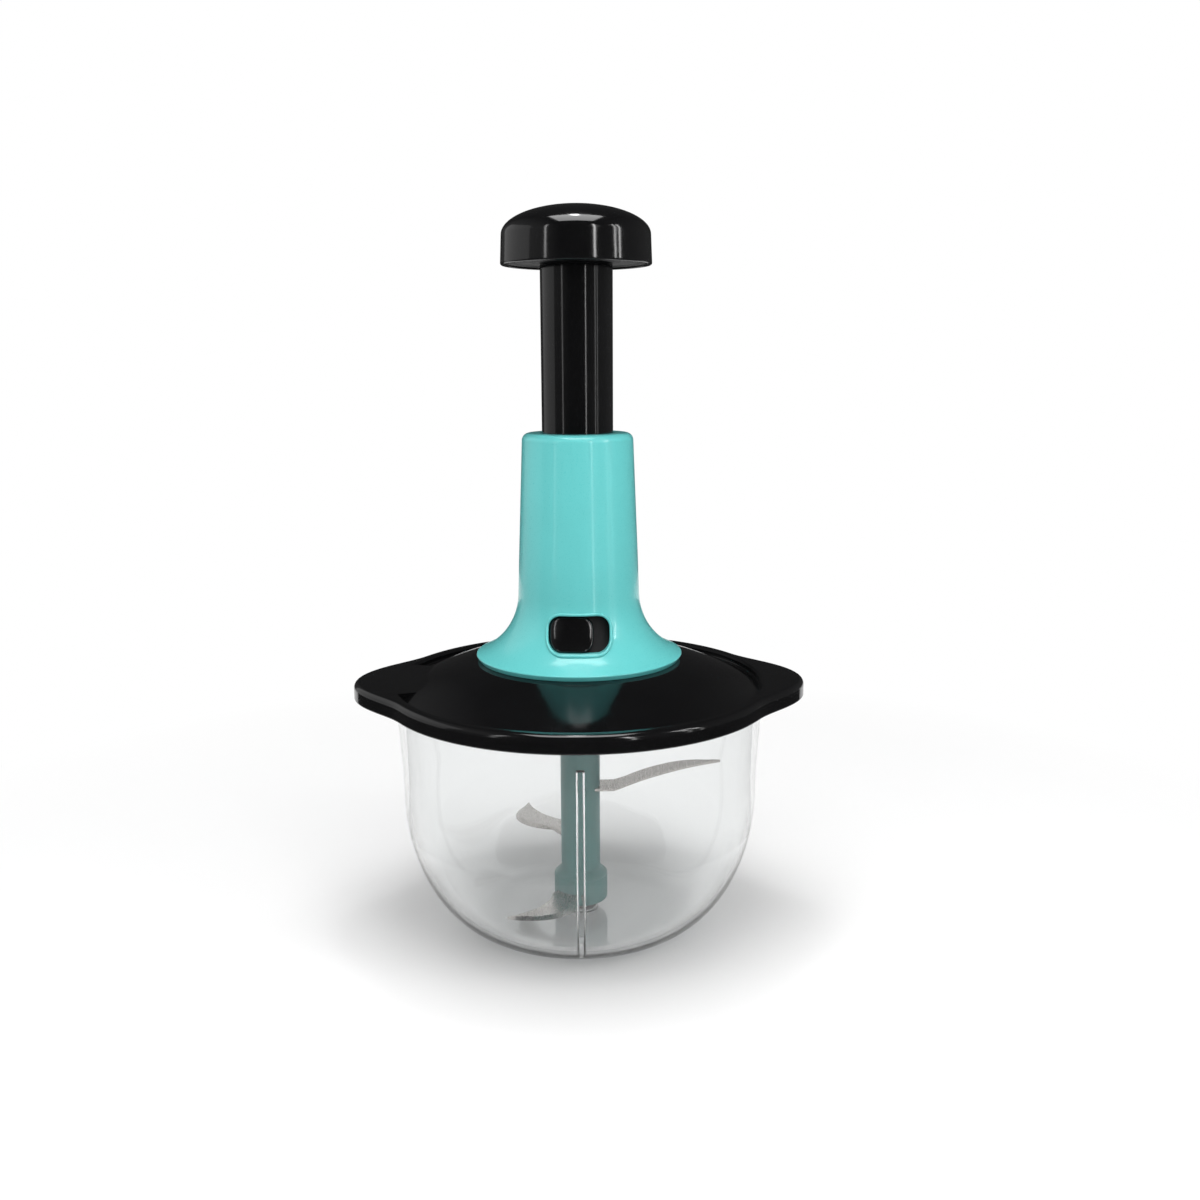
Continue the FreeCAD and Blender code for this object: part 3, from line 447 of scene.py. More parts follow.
def fill_outline(name, points):
    """Flat face inside a drawn outline."""
    piece = draw_line(name, points + points[:1])
    weld()
    bpy.ops.mesh.edge_face_add()
    return piece


def extruded(name, points, step):
    """Solid between a drawn outline and its copy moved by a step."""
    piece = fill_outline(name, points)
    bpy.ops.mesh.extrude_region_move(TRANSFORM_OT_translate={"value": step})
    tidy_normals(piece)
    return piece


def combine(piece, tool, operation):
    """Joins a tool to a piece, cuts it away or keeps what both hold, and removes the tool."""
    choose(piece)
    modifier = piece.modifiers.new(operation.title(), "BOOLEAN")
    modifier.operation = operation
    modifier.solver = "EXACT"
    modifier.object = tool
    bpy.ops.object.modifier_apply(modifier=modifier.name)
    choose(tool)
    bpy.ops.object.delete()
    edit(piece)
    weld()
    bpy.ops.object.mode_set(mode="OBJECT")


def rounded_block(name, lows, highs, corner):
    """Block between two corner points whose four edges along Y are rounded."""
    deselect()
    middle = [(first + last) / 2 for first, last in zip(lows, highs)]
    spans = [last - first for first, last in zip(lows, highs)]
    bpy.ops.mesh.primitive_cube_add(size=1.0, location=middle, scale=spans)
    block = new_piece(name)
    bpy.ops.object.transform_apply(location=True, rotation=True, scale=True)
    edit(block)
    along = spans[1] / 2
    select_parts(block, "edges", lambda edge: abs((edge.verts[0].co - edge.verts[1].co).y) > along)
    bpy.ops.mesh.bevel(offset=corner, segments=CORNER_STEPS, affect="EDGES")
    bpy.ops.object.mode_set(mode="OBJECT")
    return block


def dress(piece, body, finish, nodes, sharp=35.0):
    """Finishes a piece: its material by name, smooth faces, the body it rides on, and the nodes that it
    stands for."""
    choose(piece)
    piece.data.materials.clear()
    piece.data.materials.append(bpy.data.materials[finish])
    bpy.ops.object.shade_smooth_by_angle(angle=math.radians(sharp))
    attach(piece, body)
    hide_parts(*nodes)


def add_node(material, kind, inputs, **settings):
    """Adds a node to a material, with its settings and with values or links on its inputs."""
    node = material.node_tree.nodes.new(kind)
    for name, value in settings.items():
        setattr(node, name, value)
    for name, value in inputs.items():
        if isinstance(value, bpy.types.NodeSocket):
            material.node_tree.links.new(value, node.inputs[name])
        else:
            node.inputs[name].default_value = value
    return node


def new_material(name):
    """Empty material with nodes."""
    material = bpy.data.materials.new(name)
    material.use_nodes = True
    material.node_tree.nodes.clear()
    return material


def opaque(values):
    """Colour property as four numbers."""
    return (*values, 1.0)


def ramp(start, end, first, last):
    """Inputs that lead a Map Range node from one value to another between two places."""
    return {"From Min": start, "From Max": end, "To Min": first, "To Max": last}


def pattern_space(material, turn_by=0.0, stretch=(1.0, 1.0, 1.0)):
    """Object coordinates, turned about Z and stretched."""
    coordinates = add_node(material, "ShaderNodeTexCoord", {})
    inputs = {"Vector": coordinates.outputs["Object"], "Rotation": (0.0, 0.0, turn_by), "Scale": stretch}
    return add_node(material, "ShaderNodeMapping", inputs).outputs["Vector"]


def lumps(vector, size, detail):
    """Inputs that give a Noise node lumps about one size across."""
    return {"Vector": vector, "Scale": 1.0 / size, "Detail": detail, "Roughness": 0.5}


def patches(material, vector, size, detail, lowest, highest):
    """Value that wanders between two limits, in patches about one size across."""
    noise = add_node(material, "ShaderNodeTexNoise", lumps(vector, size, detail))
    inputs = {"Value": noise.outputs["Fac"], **ramp(0.3, 0.7, lowest, highest)}
    return add_node(material, "ShaderNodeMapRange", inputs).outputs["Result"]


def make_finish(name, base, drift, rough, relief, inputs, turn_by=0.0, stretch=(1.0, 1.0, 1.0)):
    """Material of one finish. drift is the size of the base colour's patches and how much they vary;
    rough is the size and detail of the roughness's noise, its lowest value and its highest; relief is
    the size, detail and depth of the bumps, or None."""
    material = new_material(name)
    vector = pattern_space(material, turn_by, stretch)
    patch_size, vary = drift
    value = patches(material, vector, patch_size, 2.0, 1.0 - vary, 1.0 + vary)
    shaded = add_node(material, "ShaderNodeHueSaturation", {"Color": opaque(base), "Value": value})
    roughness = patches(material, vector, *rough)
    sockets = {"Base Color": shaded.outputs["Color"], "Roughness": roughness, **inputs}
    if relief:
        size, detail, depth = relief
        noise = add_node(material, "ShaderNodeTexNoise", lumps(vector, size, detail))
        height = {"Height": noise.outputs["Fac"], "Distance": depth, "Strength": 1.0}
        sockets["Normal"] = add_node(material, "ShaderNodeBump", height).outputs["Normal"]
    surface = add_node(material, "ShaderNodeBsdfPrincipled", sockets)
    add_node(material, "ShaderNodeOutputMaterial", {"Surface": surface.outputs["BSDF"]})
    return material


def clear_san(colours):
    """Injection-moulded SAN, polished in the tool: water-clear, with wipe marks that only soften glints.
    Light from the lamps goes straight through it, so that the inside isn't dark."""
    material = new_material("clear_san")
    plastic = add_node(material, "ShaderNodeBsdfPrincipled", {
        "Base Color": opaque(colours.clear),
        "Roughness": patches(material, pattern_space(material), 18.0 * MM, 4.0, 0.0, 0.03),
        "IOR": 1.57,
        "Transmission Weight": 1.0,
    })
    path = add_node(material, "ShaderNodeLightPath", {})
    light = add_node(material, "ShaderNodeBsdfTransparent", {"Color": opaque(colours.clear)})
    surface = add_node(material, "ShaderNodeMixShader", {
        0: path.outputs["Is Shadow Ray"],
        1: plastic.outputs["BSDF"],
        2: light.outputs["BSDF"],
    })
    add_node(material, "ShaderNodeOutputMaterial", {"Surface": surface.outputs["Shader"]})
    return material


def gloss_black_abs(colours):
    """ABS from a mirror-polished tool: deep black, sharp reflections, a faint moulded waviness."""
    return make_finish("gloss_black_abs", colours.black, drift=(30.0 * MM, 0.12),
                       rough=(14.0 * MM, 5.0, 0.07, 0.13), relief=(9.0 * MM, 1.0, 0.02 * MM),
                       inputs={"IOR": 1.53})


def matt_black_abs(colours):
    """ABS from a spark-eroded tool: black with a fine dull grain that dims glancing reflections,
    drawn at 0.5 mm so that it shows."""
    return make_finish("matt_black_abs", colours.matt, drift=(12.0 * MM, 0.15),
                       rough=(0.5 * MM, 2.0, 0.42, 0.58), relief=(0.5 * MM, 2.0, 0.03 * MM),
                       inputs={"IOR": 1.53, "Specular IOR Level": 0.2})


def satin_teal_pp(colours):
    """Polypropylene coloured through: a soft sheen, and a thin smooth skin that draws the lamps as lines."""
    return make_finish("satin_teal_pp", colours.teal, drift=(25.0 * MM, 0.02),
                       rough=(0.4 * MM, 2.0, 0.26, 0.34), relief=(0.4 * MM, 2.0, 0.004 * MM),
                       inputs={"IOR": 1.49, "Coat Weight": 0.5, "Coat Roughness": 0.07})


def satin_teal_nylon(colours):
    """Glass-filled nylon, duller than the handle, with faint flow streaks along the shaft. Its base colour is
    the nylon's own duller teal, darkened further with painted shade from the lid above.
    """
    return make_finish("satin_teal_nylon", colours.shaft, drift=(6.0 * MM, 0.05),
                       rough=(3.0 * MM, 4.0, 0.36, 0.48), relief=(3.0 * MM, 4.0, 0.01 * MM),
                       inputs={"IOR": 1.53}, stretch=(1.0, 1.0, 0.15))


def natural_nylon(colours):
    """Natural nylon, moulded: creamy white, a little light passes into it."""
    return make_finish("natural_nylon", colours.nylon, drift=(10.0 * MM, 0.03),
                       rough=(1.5 * MM, 3.0, 0.34, 0.46), relief=None,
                       inputs={"IOR": 1.53, "Subsurface Weight": 0.15,
                               "Subsurface Radius": (1.0 * MM, 0.8 * MM, 0.6 * MM)})


def brushed_steel(colours, name, turn_by):
    """Stainless blade strip, ground across its width: grey, with fine lines 0.3 mm apart."""
    return make_finish(name, colours.steel, drift=(0.9 * MM, 0.03),
                       rough=(0.3 * MM, 3.0, 0.22, 0.3), relief=(0.3 * MM, 3.0, 0.0006 * MM),
                       inputs={"Metallic": 1.0}, turn_by=-turn_by, stretch=(1.0, 0.06, 1.0))


def drawn_steel(colours):
    """Drawn and turned steel of pins, screws and the twisted rod: duller grey, faint oil-dark patches."""
    return make_finish("drawn_steel", colours.steel, drift=(4.0 * MM, 0.15),
                       rough=(2.0 * MM, 4.0, 0.25, 0.4), relief=None, inputs={"Metallic": 1.0})


def moulded_silicone(colours):
    """Food-grade silicone: soft milky grey, dull, with light in its edges."""
    return make_finish("moulded_silicone", colours.silicone, drift=(8.0 * MM, 0.03),
                       rough=(0.8 * MM, 3.0, 0.42, 0.55), relief=None,
                       inputs={"IOR": 1.41, "Subsurface Weight": 0.3,
                               "Subsurface Radius": (1.5 * MM, 1.4 * MM, 1.4 * MM)})


class CHOPPER_OT_finishes(bpy.types.Operator):
    """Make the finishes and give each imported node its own."""
    bl_idname = "chopper.finishes"
    bl_label = "Finishes"

    def execute(self, context):
        colours = context.scene.chopper_colours
        made = {
            "clear_bowl": clear_san(colours),
            "black_gloss": gloss_black_abs(colours),
            "black_matt": matt_black_abs(colours),
            "teal_shell": satin_teal_pp(colours),
            "teal_shaft": satin_teal_nylon(colours),
            "white_nylon": natural_nylon(colours),
            "blade_steel": brushed_steel(colours, "blade_steel", 0.0),
            "plain_steel": drawn_steel(colours),
            "soft_seal": moulded_silicone(colours),
        }
        for subpart in frame["record"]["subparts"]:
            node = frame["nodes"][subpart["node"]]
            node.data.materials.clear()
            node.data.materials.append(made[subpart["material_slot"]])
        return {"FINISHED"}


def bowl_half_section(sizes, inset, floor):
    """Points of the bowl's form from its base to the shoulder, pulled in by a wall and a floor."""
    width = sizes.shoulder_radius - sizes.base_radius - inset
    height = sizes.shoulder_height - floor
    return ellipse_arc((sizes.base_radius, sizes.shoulder_height), width, height, -90.0, 0.0, steps=28)


def shoulder_turn(sizes, inset):
    """Points where the bowl's upright shoulder leans out little by little into its slanted upper wall."""
    width = sizes.rim_radius - sizes.shoulder_radius
    lean = width / (sizes.height - sizes.shoulder_height - sizes.lean_height / 2)
    points = []
    steps = 8
    for index in range(steps + 1):
        rise = sizes.lean_height * index / steps
        radius = sizes.shoulder_radius - inset + lean * rise ** 2 / (2 * sizes.lean_height)
        points.append((radius, sizes.shoulder_height + rise))
    return points


def bowl_rib(sizes, side):
    """One upright rib, rooted in the wall's middle, with soft inner edges."""
    top = sizes.height - sizes.rib_below_rim
    half = sizes.rib_width / 2
    decimals = 6
    slope = (sizes.rim_radius - sizes.shoulder_radius) / (sizes.height - sizes.shoulder_height)
    top_radius = sizes.shoulder_radius + slope * (top - sizes.shoulder_height)
    root = sizes.wall / 2
    face = sizes.wall + sizes.rib_depth
    outer = bowl_half_section(sizes, root, sizes.floor / 2) + [(top_radius - root, top)]
    inner = bowl_half_section(sizes, face, sizes.floor + sizes.rib_depth) + [(top_radius - face, top)]
    outline = [(-half, side * radius, height) for radius, height in outer + inner[::-1]]
    rib = extruded("rib", outline, (sizes.rib_width, 0, 0))
    edit(rib)
    ends = {(round(radius, decimals), round(height, decimals)) for radius, height in inner}

    def is_inner_edge(edge):
        corners = [vertex.co for vertex in edge.verts]
        across = abs(corners[0].x - corners[1].x)
        places = [(round(abs(corner.y), decimals), round(corner.z, decimals)) for corner in corners]
        return across < WELD and all(place in ends for place in places)

    select_parts(rib, "edges", is_inner_edge)
    bpy.ops.mesh.bevel(offset=sizes.rib_round, segments=5, affect="EDGES")
    bpy.ops.object.mode_set(mode="OBJECT")
    return rib


class CHOPPER_OT_bowl(bpy.types.Operator):
    """Make the clear bowl: a spun shell with its boss, joined to two upright ribs."""
    bl_idname = "chopper.bowl"
    bl_label = "Clear bowl"

    def execute(self, context):
        sizes = context.scene.chopper_bowl
        bore_bottom = low("pivot_pin") - 0.05 * MM
        outside = [(0.0, 0.0)] + bowl_half_section(sizes, 0.0, 0.0)
        outer_turn = shoulder_turn(sizes, 0.0)
        inner_turn = shoulder_turn(sizes, sizes.wall)[::-1]
        rim = section([
            *outer_turn,
            (sizes.rim_radius, sizes.height, sizes.rim_round),
            (sizes.rim_radius - sizes.wall, sizes.height, sizes.rim_round),
            *inner_turn,
        ])
        inside = bowl_half_section(sizes, sizes.wall, sizes.floor)[::-1]
        boss = section([
            (sizes.base_radius, sizes.floor),
            (sizes.boss_radius, sizes.floor, 1.2 * MM),
            (sizes.boss_radius, sizes.boss_top, 0.6 * MM),
            (sizes.pin_bore, sizes.boss_top),
            (sizes.pin_bore, bore_bottom),
            (0.0, bore_bottom),
        ])
        points = outside + rim[1:-1] + inside + boss[1:]
        bowl = turn("clear_bowl", points, 160, closed=False)
        for side in (-1.0, 1.0):
            combine(bowl, bowl_rib(sizes, side), "UNION")
        dress(bowl, "bowl", "clear_san", ["bowl"])
        return {"FINISHED"}


def ear_swell(sizes, point):
    """How far the lid's outline stands out past its radius in a point's direction."""
    across = abs(math.atan2(point.y, abs(point.x)))
    if across >= sizes.ear_half_angle:
        return 0.0
    ear = reach("lid") - sizes.radius
    return ear * (1 + math.cos(math.pi * across / sizes.ear_half_angle)) / 2


def ear_pocket(sizes, side):
    """Cutter for the hollow under one ear, which follows the ear's outline inside its wall."""
    steps = 16
    half = sizes.pocket_half_angle
    outline = []
    for index in range(steps + 1):
        across = -half + 2 * half * index / steps
        spoke = Vector((math.cos(across), math.sin(across), 0))
        distance = sizes.radius + ear_swell(sizes, spoke) - sizes.ear_wall
        outline.append((side * distance * spoke.x, distance * spoke.y, sizes.bottom - MM))
    for index in range(steps + 1):
        across = half - 2 * half * index / steps
        spoke = (math.cos(across), math.sin(across))
        outline.append((side * sizes.radius * spoke[0], sizes.radius * spoke[1], sizes.bottom - MM))
    depth = sizes.crest - sizes.ear_roof - sizes.bottom + MM
    return extruded("pocket", outline, (0, 0, depth))


def pad_block(sizes, sunk, bottom, top):
    """Block over the left part of the trough, with round inner corners, to fill it or to clear above it.
    It reaches into the raised rim, and is sunk further into the dome where it fills."""
    overlap = 2.0 * MM
    outer = sizes.radius - sizes.crest_width + overlap
    inner = sizes.pad_inner - sunk
    half = sizes.pad_half_angle
    corner = sizes.pad_corner
    corner_angle = corner / inner
    steps = 48
    far, near = [], []
    for index in range(steps + 1):
        across = half * math.sin(math.pi * (index / steps - 0.5))
        past = max(0.0, abs(across) - half + corner_angle) / corner_angle
        distance = inner + corner * (1 - math.sqrt(max(0.0, 1 - past ** 2)))
        spoke = (-math.cos(across), math.sin(across))
        far.append((outer * spoke[0], outer * spoke[1], bottom))
        near.append((distance * spoke[0], distance * spoke[1], bottom))
    return extruded("pad", far + near[::-1], (0, 0, top - bottom))


class CHOPPER_OT_lid(bpy.types.Operator):
    """Make the lid: a spun dish with two drawn-out ears, hollow from below, and a flat pad on the left."""
    bl_idname = "chopper.lid"
    bl_label = "Lid"

    def execute(self, context):
        sizes = context.scene.chopper_lid
        deck = high("lid")
        hole = reach("spindle_bush")
        crest_inner = sizes.radius - sizes.crest_width
        foot = (sizes.dome_foot, sizes.trough_top)
        shoulder = (sizes.dome_deck, deck)
        bow = ((foot[0] + shoulder[0]) / 2, (foot[1] + shoulder[1]) / 2 + sizes.dome_bulge)
        dome = three_point_arc(shoulder, bow, foot, steps=20)
        plug_inner = sizes.plug_radius - sizes.plug_wall
        seat = sizes.radius - sizes.skirt_wall
        under = sizes.trough_top - sizes.wall
        trough_round = 0.4 * MM
        crest_round = 0.6 * MM
        points = section([
            (hole, deck),
            *dome,
            (crest_inner, sizes.trough_top, trough_round),
            (crest_inner, sizes.crest - sizes.crest_slope),
            (crest_inner + sizes.crest_slope, sizes.crest, crest_round),
            (sizes.radius, sizes.crest, sizes.edge_round),
            (sizes.radius, sizes.bottom, sizes.lower_round),
            (seat, sizes.bottom, FINE),
            (seat, sizes.rim_under),
            (sizes.plug_radius, sizes.rim_under),
            (sizes.plug_radius, low("lid"), FINE),
            (plug_inner, low("lid"), FINE),
            (plug_inner, under),
            (shoulder[0], deck - sizes.wall),
            (hole, deck - sizes.wall),
        ], steps=6)
        lid = turn("black_lid", points, 180)
        rim = sizes.radius - sizes.edge_round - HOLD

        def drawn_out(point):
            distance = math.hypot(point.x, point.y)
            if distance < rim:
                return point
            stretch = (distance + ear_swell(sizes, point)) / distance
            return Vector((point.x * stretch, point.y * stretch, point.z))

        move_points(lid, drawn_out)
        for side in (-1.0, 1.0):
            combine(lid, ear_pocket(sizes, side), "DIFFERENCE")
        pad_top = sizes.crest - sizes.pad_drop
        sunk = 0.3 * MM
        combine(lid, pad_block(sizes, sunk, under + MM, pad_top), "UNION")
        combine(lid, pad_block(sizes, 0.0, pad_top, deck), "DIFFERENCE")
        dress(lid, "lid", "gloss_black_abs", ["lid"])
        return {"FINISHED"}


def flare(sizes):
    """Centre and radius of the arc that the handle's flare follows."""
    skirt_radius = reach("handle_shell")
    rise = sizes.waist_height - low("handle_shell") - sizes.skirt_edge
    width = skirt_radius - sizes.waist_radius
    radius = (width ** 2 + rise ** 2) / (2 * width)
    return sizes.waist_radius + radius, sizes.waist_height, radius


def flare_radius_at(sizes, height, depth):
    """Radius of the handle's flare at a height, at a depth below its outer surface."""
    centre_radius, centre_height, radius = flare(sizes)
    return centre_radius - math.sqrt((radius + depth) ** 2 - (centre_height - height) ** 2)


def flare_points(sizes, depth, low_height, steps):
    """Points of the flare from a height up to the waist."""
    points = []
    for index in range(steps + 1):
        height = low_height + (sizes.waist_height - low_height) * index / steps
        points.append((flare_radius_at(sizes, height, depth), height))
    return points


def rounded_outline(middle, half_width, half_height, corner):
    """Rounded rectangle as (x, height) points, anticlockwise from its right side."""
    points = []
    for start, side_x, side_z in ((0, 1, 1), (90, -1, 1), (180, -1, -1), (270, 1, -1)):
        centre = (middle[0] + side_x * (half_width - corner), middle[1] + side_z * (half_height - corner))
        points.extend(ellipse_arc(centre, corner, corner, start, start + 90, CORNER_STEPS))
    return points


def on_flare(sizes, across, height, depth):
    """Point of the handle's front at a distance from its middle, a height and a depth."""
    radius = flare_radius_at(sizes, height, depth)
    return across, -math.sqrt(radius ** 2 - across ** 2), height


def window_bead(sizes):
    """Round bead along the window's edge, half sunk in the shell."""
    half_width = (sizes.window_width + sizes.lip_width) / 2
    half_height = (sizes.window_height + sizes.lip_width) / 2
    corner = sizes.window_corner + sizes.lip_width / 2
    outline = rounded_outline((0.0, sizes.window_centre), half_width, half_height, corner)
    longest = 1.2 * MM
    path = []
    for index, (across, height) in enumerate(outline):
        path.append(on_flare(sizes, across, height, -sizes.lip_rise))
        after = outline[(index + 1) % len(outline)]
        gap = math.hypot(after[0] - across, after[1] - height)
        cuts = int(gap / longest)
        for cut in range(1, cuts):
            part = cut / cuts
            between = (across + (after[0] - across) * part, height + (after[1] - height) * part)
            path.append(on_flare(sizes, *between, -sizes.lip_rise))
    draw_line("window_bead", path + path[:1])
    weld()
    bpy.ops.object.mode_set(mode="OBJECT")
    bpy.ops.object.convert(target="CURVE")
    bead = bpy.context.object
    bead.data.bevel_depth = sizes.lip_width / 2
    bead.data.bevel_resolution = 3
    bpy.ops.object.convert(target="MESH")
    bead = bpy.context.object
    tidy_normals(bead)
    return bead


class CHOPPER_OT_handle(bpy.types.Operator):
    """Make the handle shell: a spun flare with a window cut through it and a bead round the window."""
    bl_idname = "chopper.handle"
    bl_label = "Handle shell"

    def execute(self, context):
        sizes = context.scene.chopper_handle
        bottom, top = low("handle_shell"), high("handle_shell")
        skirt = reach("handle_shell")
        ceiling = top - sizes.top_wall
        skirt_top = bottom + sizes.skirt_edge
        inner_skirt = skirt - sizes.wall
        inner_low = skirt_top
        climb = 0.05 * MM
        while flare_radius_at(sizes, inner_low, sizes.wall) > inner_skirt:
            inner_low += climb
        outer_flare = flare_points(sizes, 0.0, skirt_top, steps=24)
        inner_flare = flare_points(sizes, sizes.wall, inner_low, steps=24)[::-1]
        # The rounding of the skirt's edge takes the place of the flare's first points.
        first = 2
        lower = section([
            (inner_skirt, bottom),
            (skirt - sizes.skirt_undercut, bottom, 0.6 * MM),
            (skirt, skirt_top, 0.5 * MM),
            outer_flare[first],
        ])
        upper = section([
            (sizes.waist_radius, sizes.waist_height),
            (sizes.top_radius, top, sizes.shoulder),
            (sizes.opening, top, 0.6 * MM),
            (sizes.opening, ceiling, FINE),
            (sizes.top_radius - sizes.wall, ceiling, 1.0 * MM),
            (sizes.waist_radius - sizes.wall, sizes.waist_height),
        ], steps=8)
        points = lower[:-1] + outer_flare[first:-1] + upper[:-1] + inner_flare
        shell = turn("teal_handle", points, 144)
        half_height = sizes.window_height / 2
        half_width = sizes.window_width / 2
        lows = (-half_width, -skirt, sizes.window_centre - half_height)
        highs = (half_width, 0.0, sizes.window_centre + half_height)
        cutter = rounded_block("window", lows, highs, sizes.window_corner)
        combine(shell, cutter, "DIFFERENCE")
        combine(shell, window_bead(sizes), "UNION")
        dress(shell, "lid", "satin_teal_pp", ["handle_shell"], sharp=40.0)
        return {"FINISHED"}


class CHOPPER_OT_button(bpy.types.Operator):
    """Make the lock button: a pad with rounded corners and edges, laid on the handle's flare."""
    bl_idname = "chopper.button"
    bl_label = "Lock button"

    def execute(self, context):
        sizes = context.scene.chopper_handle
        box_low, box_high = boxes["lock_button"]
        middle = (box_low + box_high) / 2
        half_width = (box_high.x - box_low.x) / 2
        half_height = (box_high.z - box_low.z) / 2
        corner = sizes.window_corner - sizes.button_gap
        outline = rounded_outline((middle.x, middle.z), half_width, half_height, corner)
        depth = sizes.button_depth
        edge_round = sizes.button_round
        pad = fill_outline("lock_pad", [(across, depth, height) for across, height in outline])
        bpy.ops.mesh.extrude_region_move(TRANSFORM_OT_translate={"value": (0, edge_round - depth, 0)})
        steps = 5
        for index in range(steps):
            before = math.radians(90 * index / steps)
            after = math.radians(90 * (index + 1) / steps)
            bpy.ops.mesh.inset(thickness=edge_round * (math.cos(before) - math.cos(after)))
            rise = edge_round * (math.sin(before) - math.sin(after))
            bpy.ops.transform.translate(value=(0, rise, 0))
        rings = 6
        # Width of the innermost face, where a ring is 1 wide.
        innermost = 0.3
        for index in range(rings):
            shrink = (rings - index - 1 + innermost) / (rings - index + innermost)
            bpy.ops.mesh.extrude_region_move(TRANSFORM_OT_translate={"value": (0, 0, 0)})
            bpy.ops.transform.resize(value=(shrink, 1, shrink), center_override=(middle.x, 0, middle.z))
        bpy.ops.object.mode_set(mode="OBJECT")

        def laid(point):
            return Vector(on_flare(sizes, point.x, point.z, sizes.button_recess + point.y))

        move_points(pad, laid)
        tidy_normals(pad)
        dress(pad, "lock", "gloss_black_abs", ["lock_button"], sharp=50.0)
        return {"FINISHED"}


class CHOPPER_OT_tube(bpy.types.Operator):
    """Make the plunger's tube, closed at its top."""
    bl_idname = "chopper.tube"
    bl_label = "Plunger tube"

    def execute(self, context):
        sizes = context.scene.chopper_plunger
        radius = reach("plunger_tube")
        bottom, top = low("plunger_tube"), high("plunger_tube")
        bore = radius - sizes.tube_wall
        web = top - sizes.tube_web
        screw = reach("knob_screw") / 2
        outer_round = 0.4 * MM
        points = section([
            (bore, bottom, FINE),
            (radius, bottom, outer_round),
            (radius, top, outer_round),
            (screw, top),
            (screw, web),
            (bore, web, 1.0 * MM),
        ])
        tube = turn("black_tube", points, 96)
        dress(tube, "plunger", "gloss_black_abs", ["plunger_tube"])
        return {"FINISHED"}


class CHOPPER_OT_knob(bpy.types.Operator):
    """Make the palm knob: a spun dome and the ring that closes it from below."""
    bl_idname = "chopper.knob"
    bl_label = "Palm knob"

    def execute(self, context):
        sizes = context.scene.chopper_plunger
        radius = reach("knob_cap")
        bottom, top = low("knob_cap"), high("knob_cap")
        dome_start = bottom + sizes.knob_skirt
        wide = radius - sizes.knob_draft
        wall = sizes.knob_wall
        rise = top - dome_start
        outer = ellipse_arc((0.0, dome_start), wide, rise, 0.0, 90.0, steps=28)
        inner = ellipse_arc((0.0, dome_start), wide - wall, rise - wall, 90.0, 0.0, steps=28)
        skirt = section([
            (wide - wall, dome_start),
            (radius - wall, bottom, FINE),
            (radius, bottom, sizes.knob_edge),
            (wide, dome_start),
        ])
        knob = turn("palm_knob", inner + skirt[1:-1] + outer, 128, closed=False)
        dress(knob, "plunger", "gloss_black_abs", ["knob_cap"])

        base_low, base_high = low("knob_base"), high("knob_base")
        hole = reach("plunger_tube")
        edge = reach("knob_base")
        groove = base_low + sizes.groove_depth
        # The groove lies between two flat lands, and its sides slope.
        inner_land = 2.5 * MM
        outer_land = 2.0 * MM
        slope = 1.0 * MM
        crisp = 0.2 * MM
        ring = turn("knob_ring", section([
            (hole, base_low, crisp),
            (hole + inner_land, base_low, crisp),
            (hole + inner_land + slope, groove, FINE),
            (edge - outer_land - slope, groove, FINE),
            (edge - outer_land, base_low, crisp),
            (edge, base_low, crisp),
            (edge, base_high),
            (hole, base_high),
        ]), 128)
        dress(ring, "plunger", "matt_black_abs", ["knob_base"])
        return {"FINISHED"}


class CHOPPER_OT_shaft(bpy.types.Operator):
    """Make the blade shaft: a spun column on a wide foot, with a hexagonal socket in its top."""
    bl_idname = "chopper.shaft"
    bl_label = "Blade shaft"

    def execute(self, context):
        sizes = context.scene.chopper_blades
        bottom, top = low("blade_shaft"), high("blade_shaft")
        foot = sizes.hub_radius
        foot_top = bottom + sizes.hub_height
        neck = foot_top + foot - sizes.shaft_radius
        points = section([
            (0.0, foot_top),
            (sizes.bore, foot_top),
            (sizes.bore, bottom, FINE),
            (foot, bottom, 0.8 * MM),
            (foot, foot_top, 1.0 * MM),
            (sizes.shaft_radius, neck, 1.5 * MM),
            (sizes.shaft_radius, top, 0.6 * MM),
            (0.0, top),
        ])
        shaft = turn("teal_shaft", points, 72, closed=False)
        deselect()
        corner = sizes.hexagon / math.sqrt(3)
        bpy.ops.mesh.primitive_cylinder_add(vertices=6, radius=corner, depth=2 * sizes.socket_depth,
                                            location=(0, 0, top), rotation=(0, 0, math.radians(30)))
        socket = new_piece("socket")
        bpy.ops.object.transform_apply(location=True, rotation=True, scale=True)
        combine(shaft, socket, "DIFFERENCE")
        dress(shaft, "blades", "satin_teal_nylon", ["blade_shaft"])
        return {"FINISHED"}


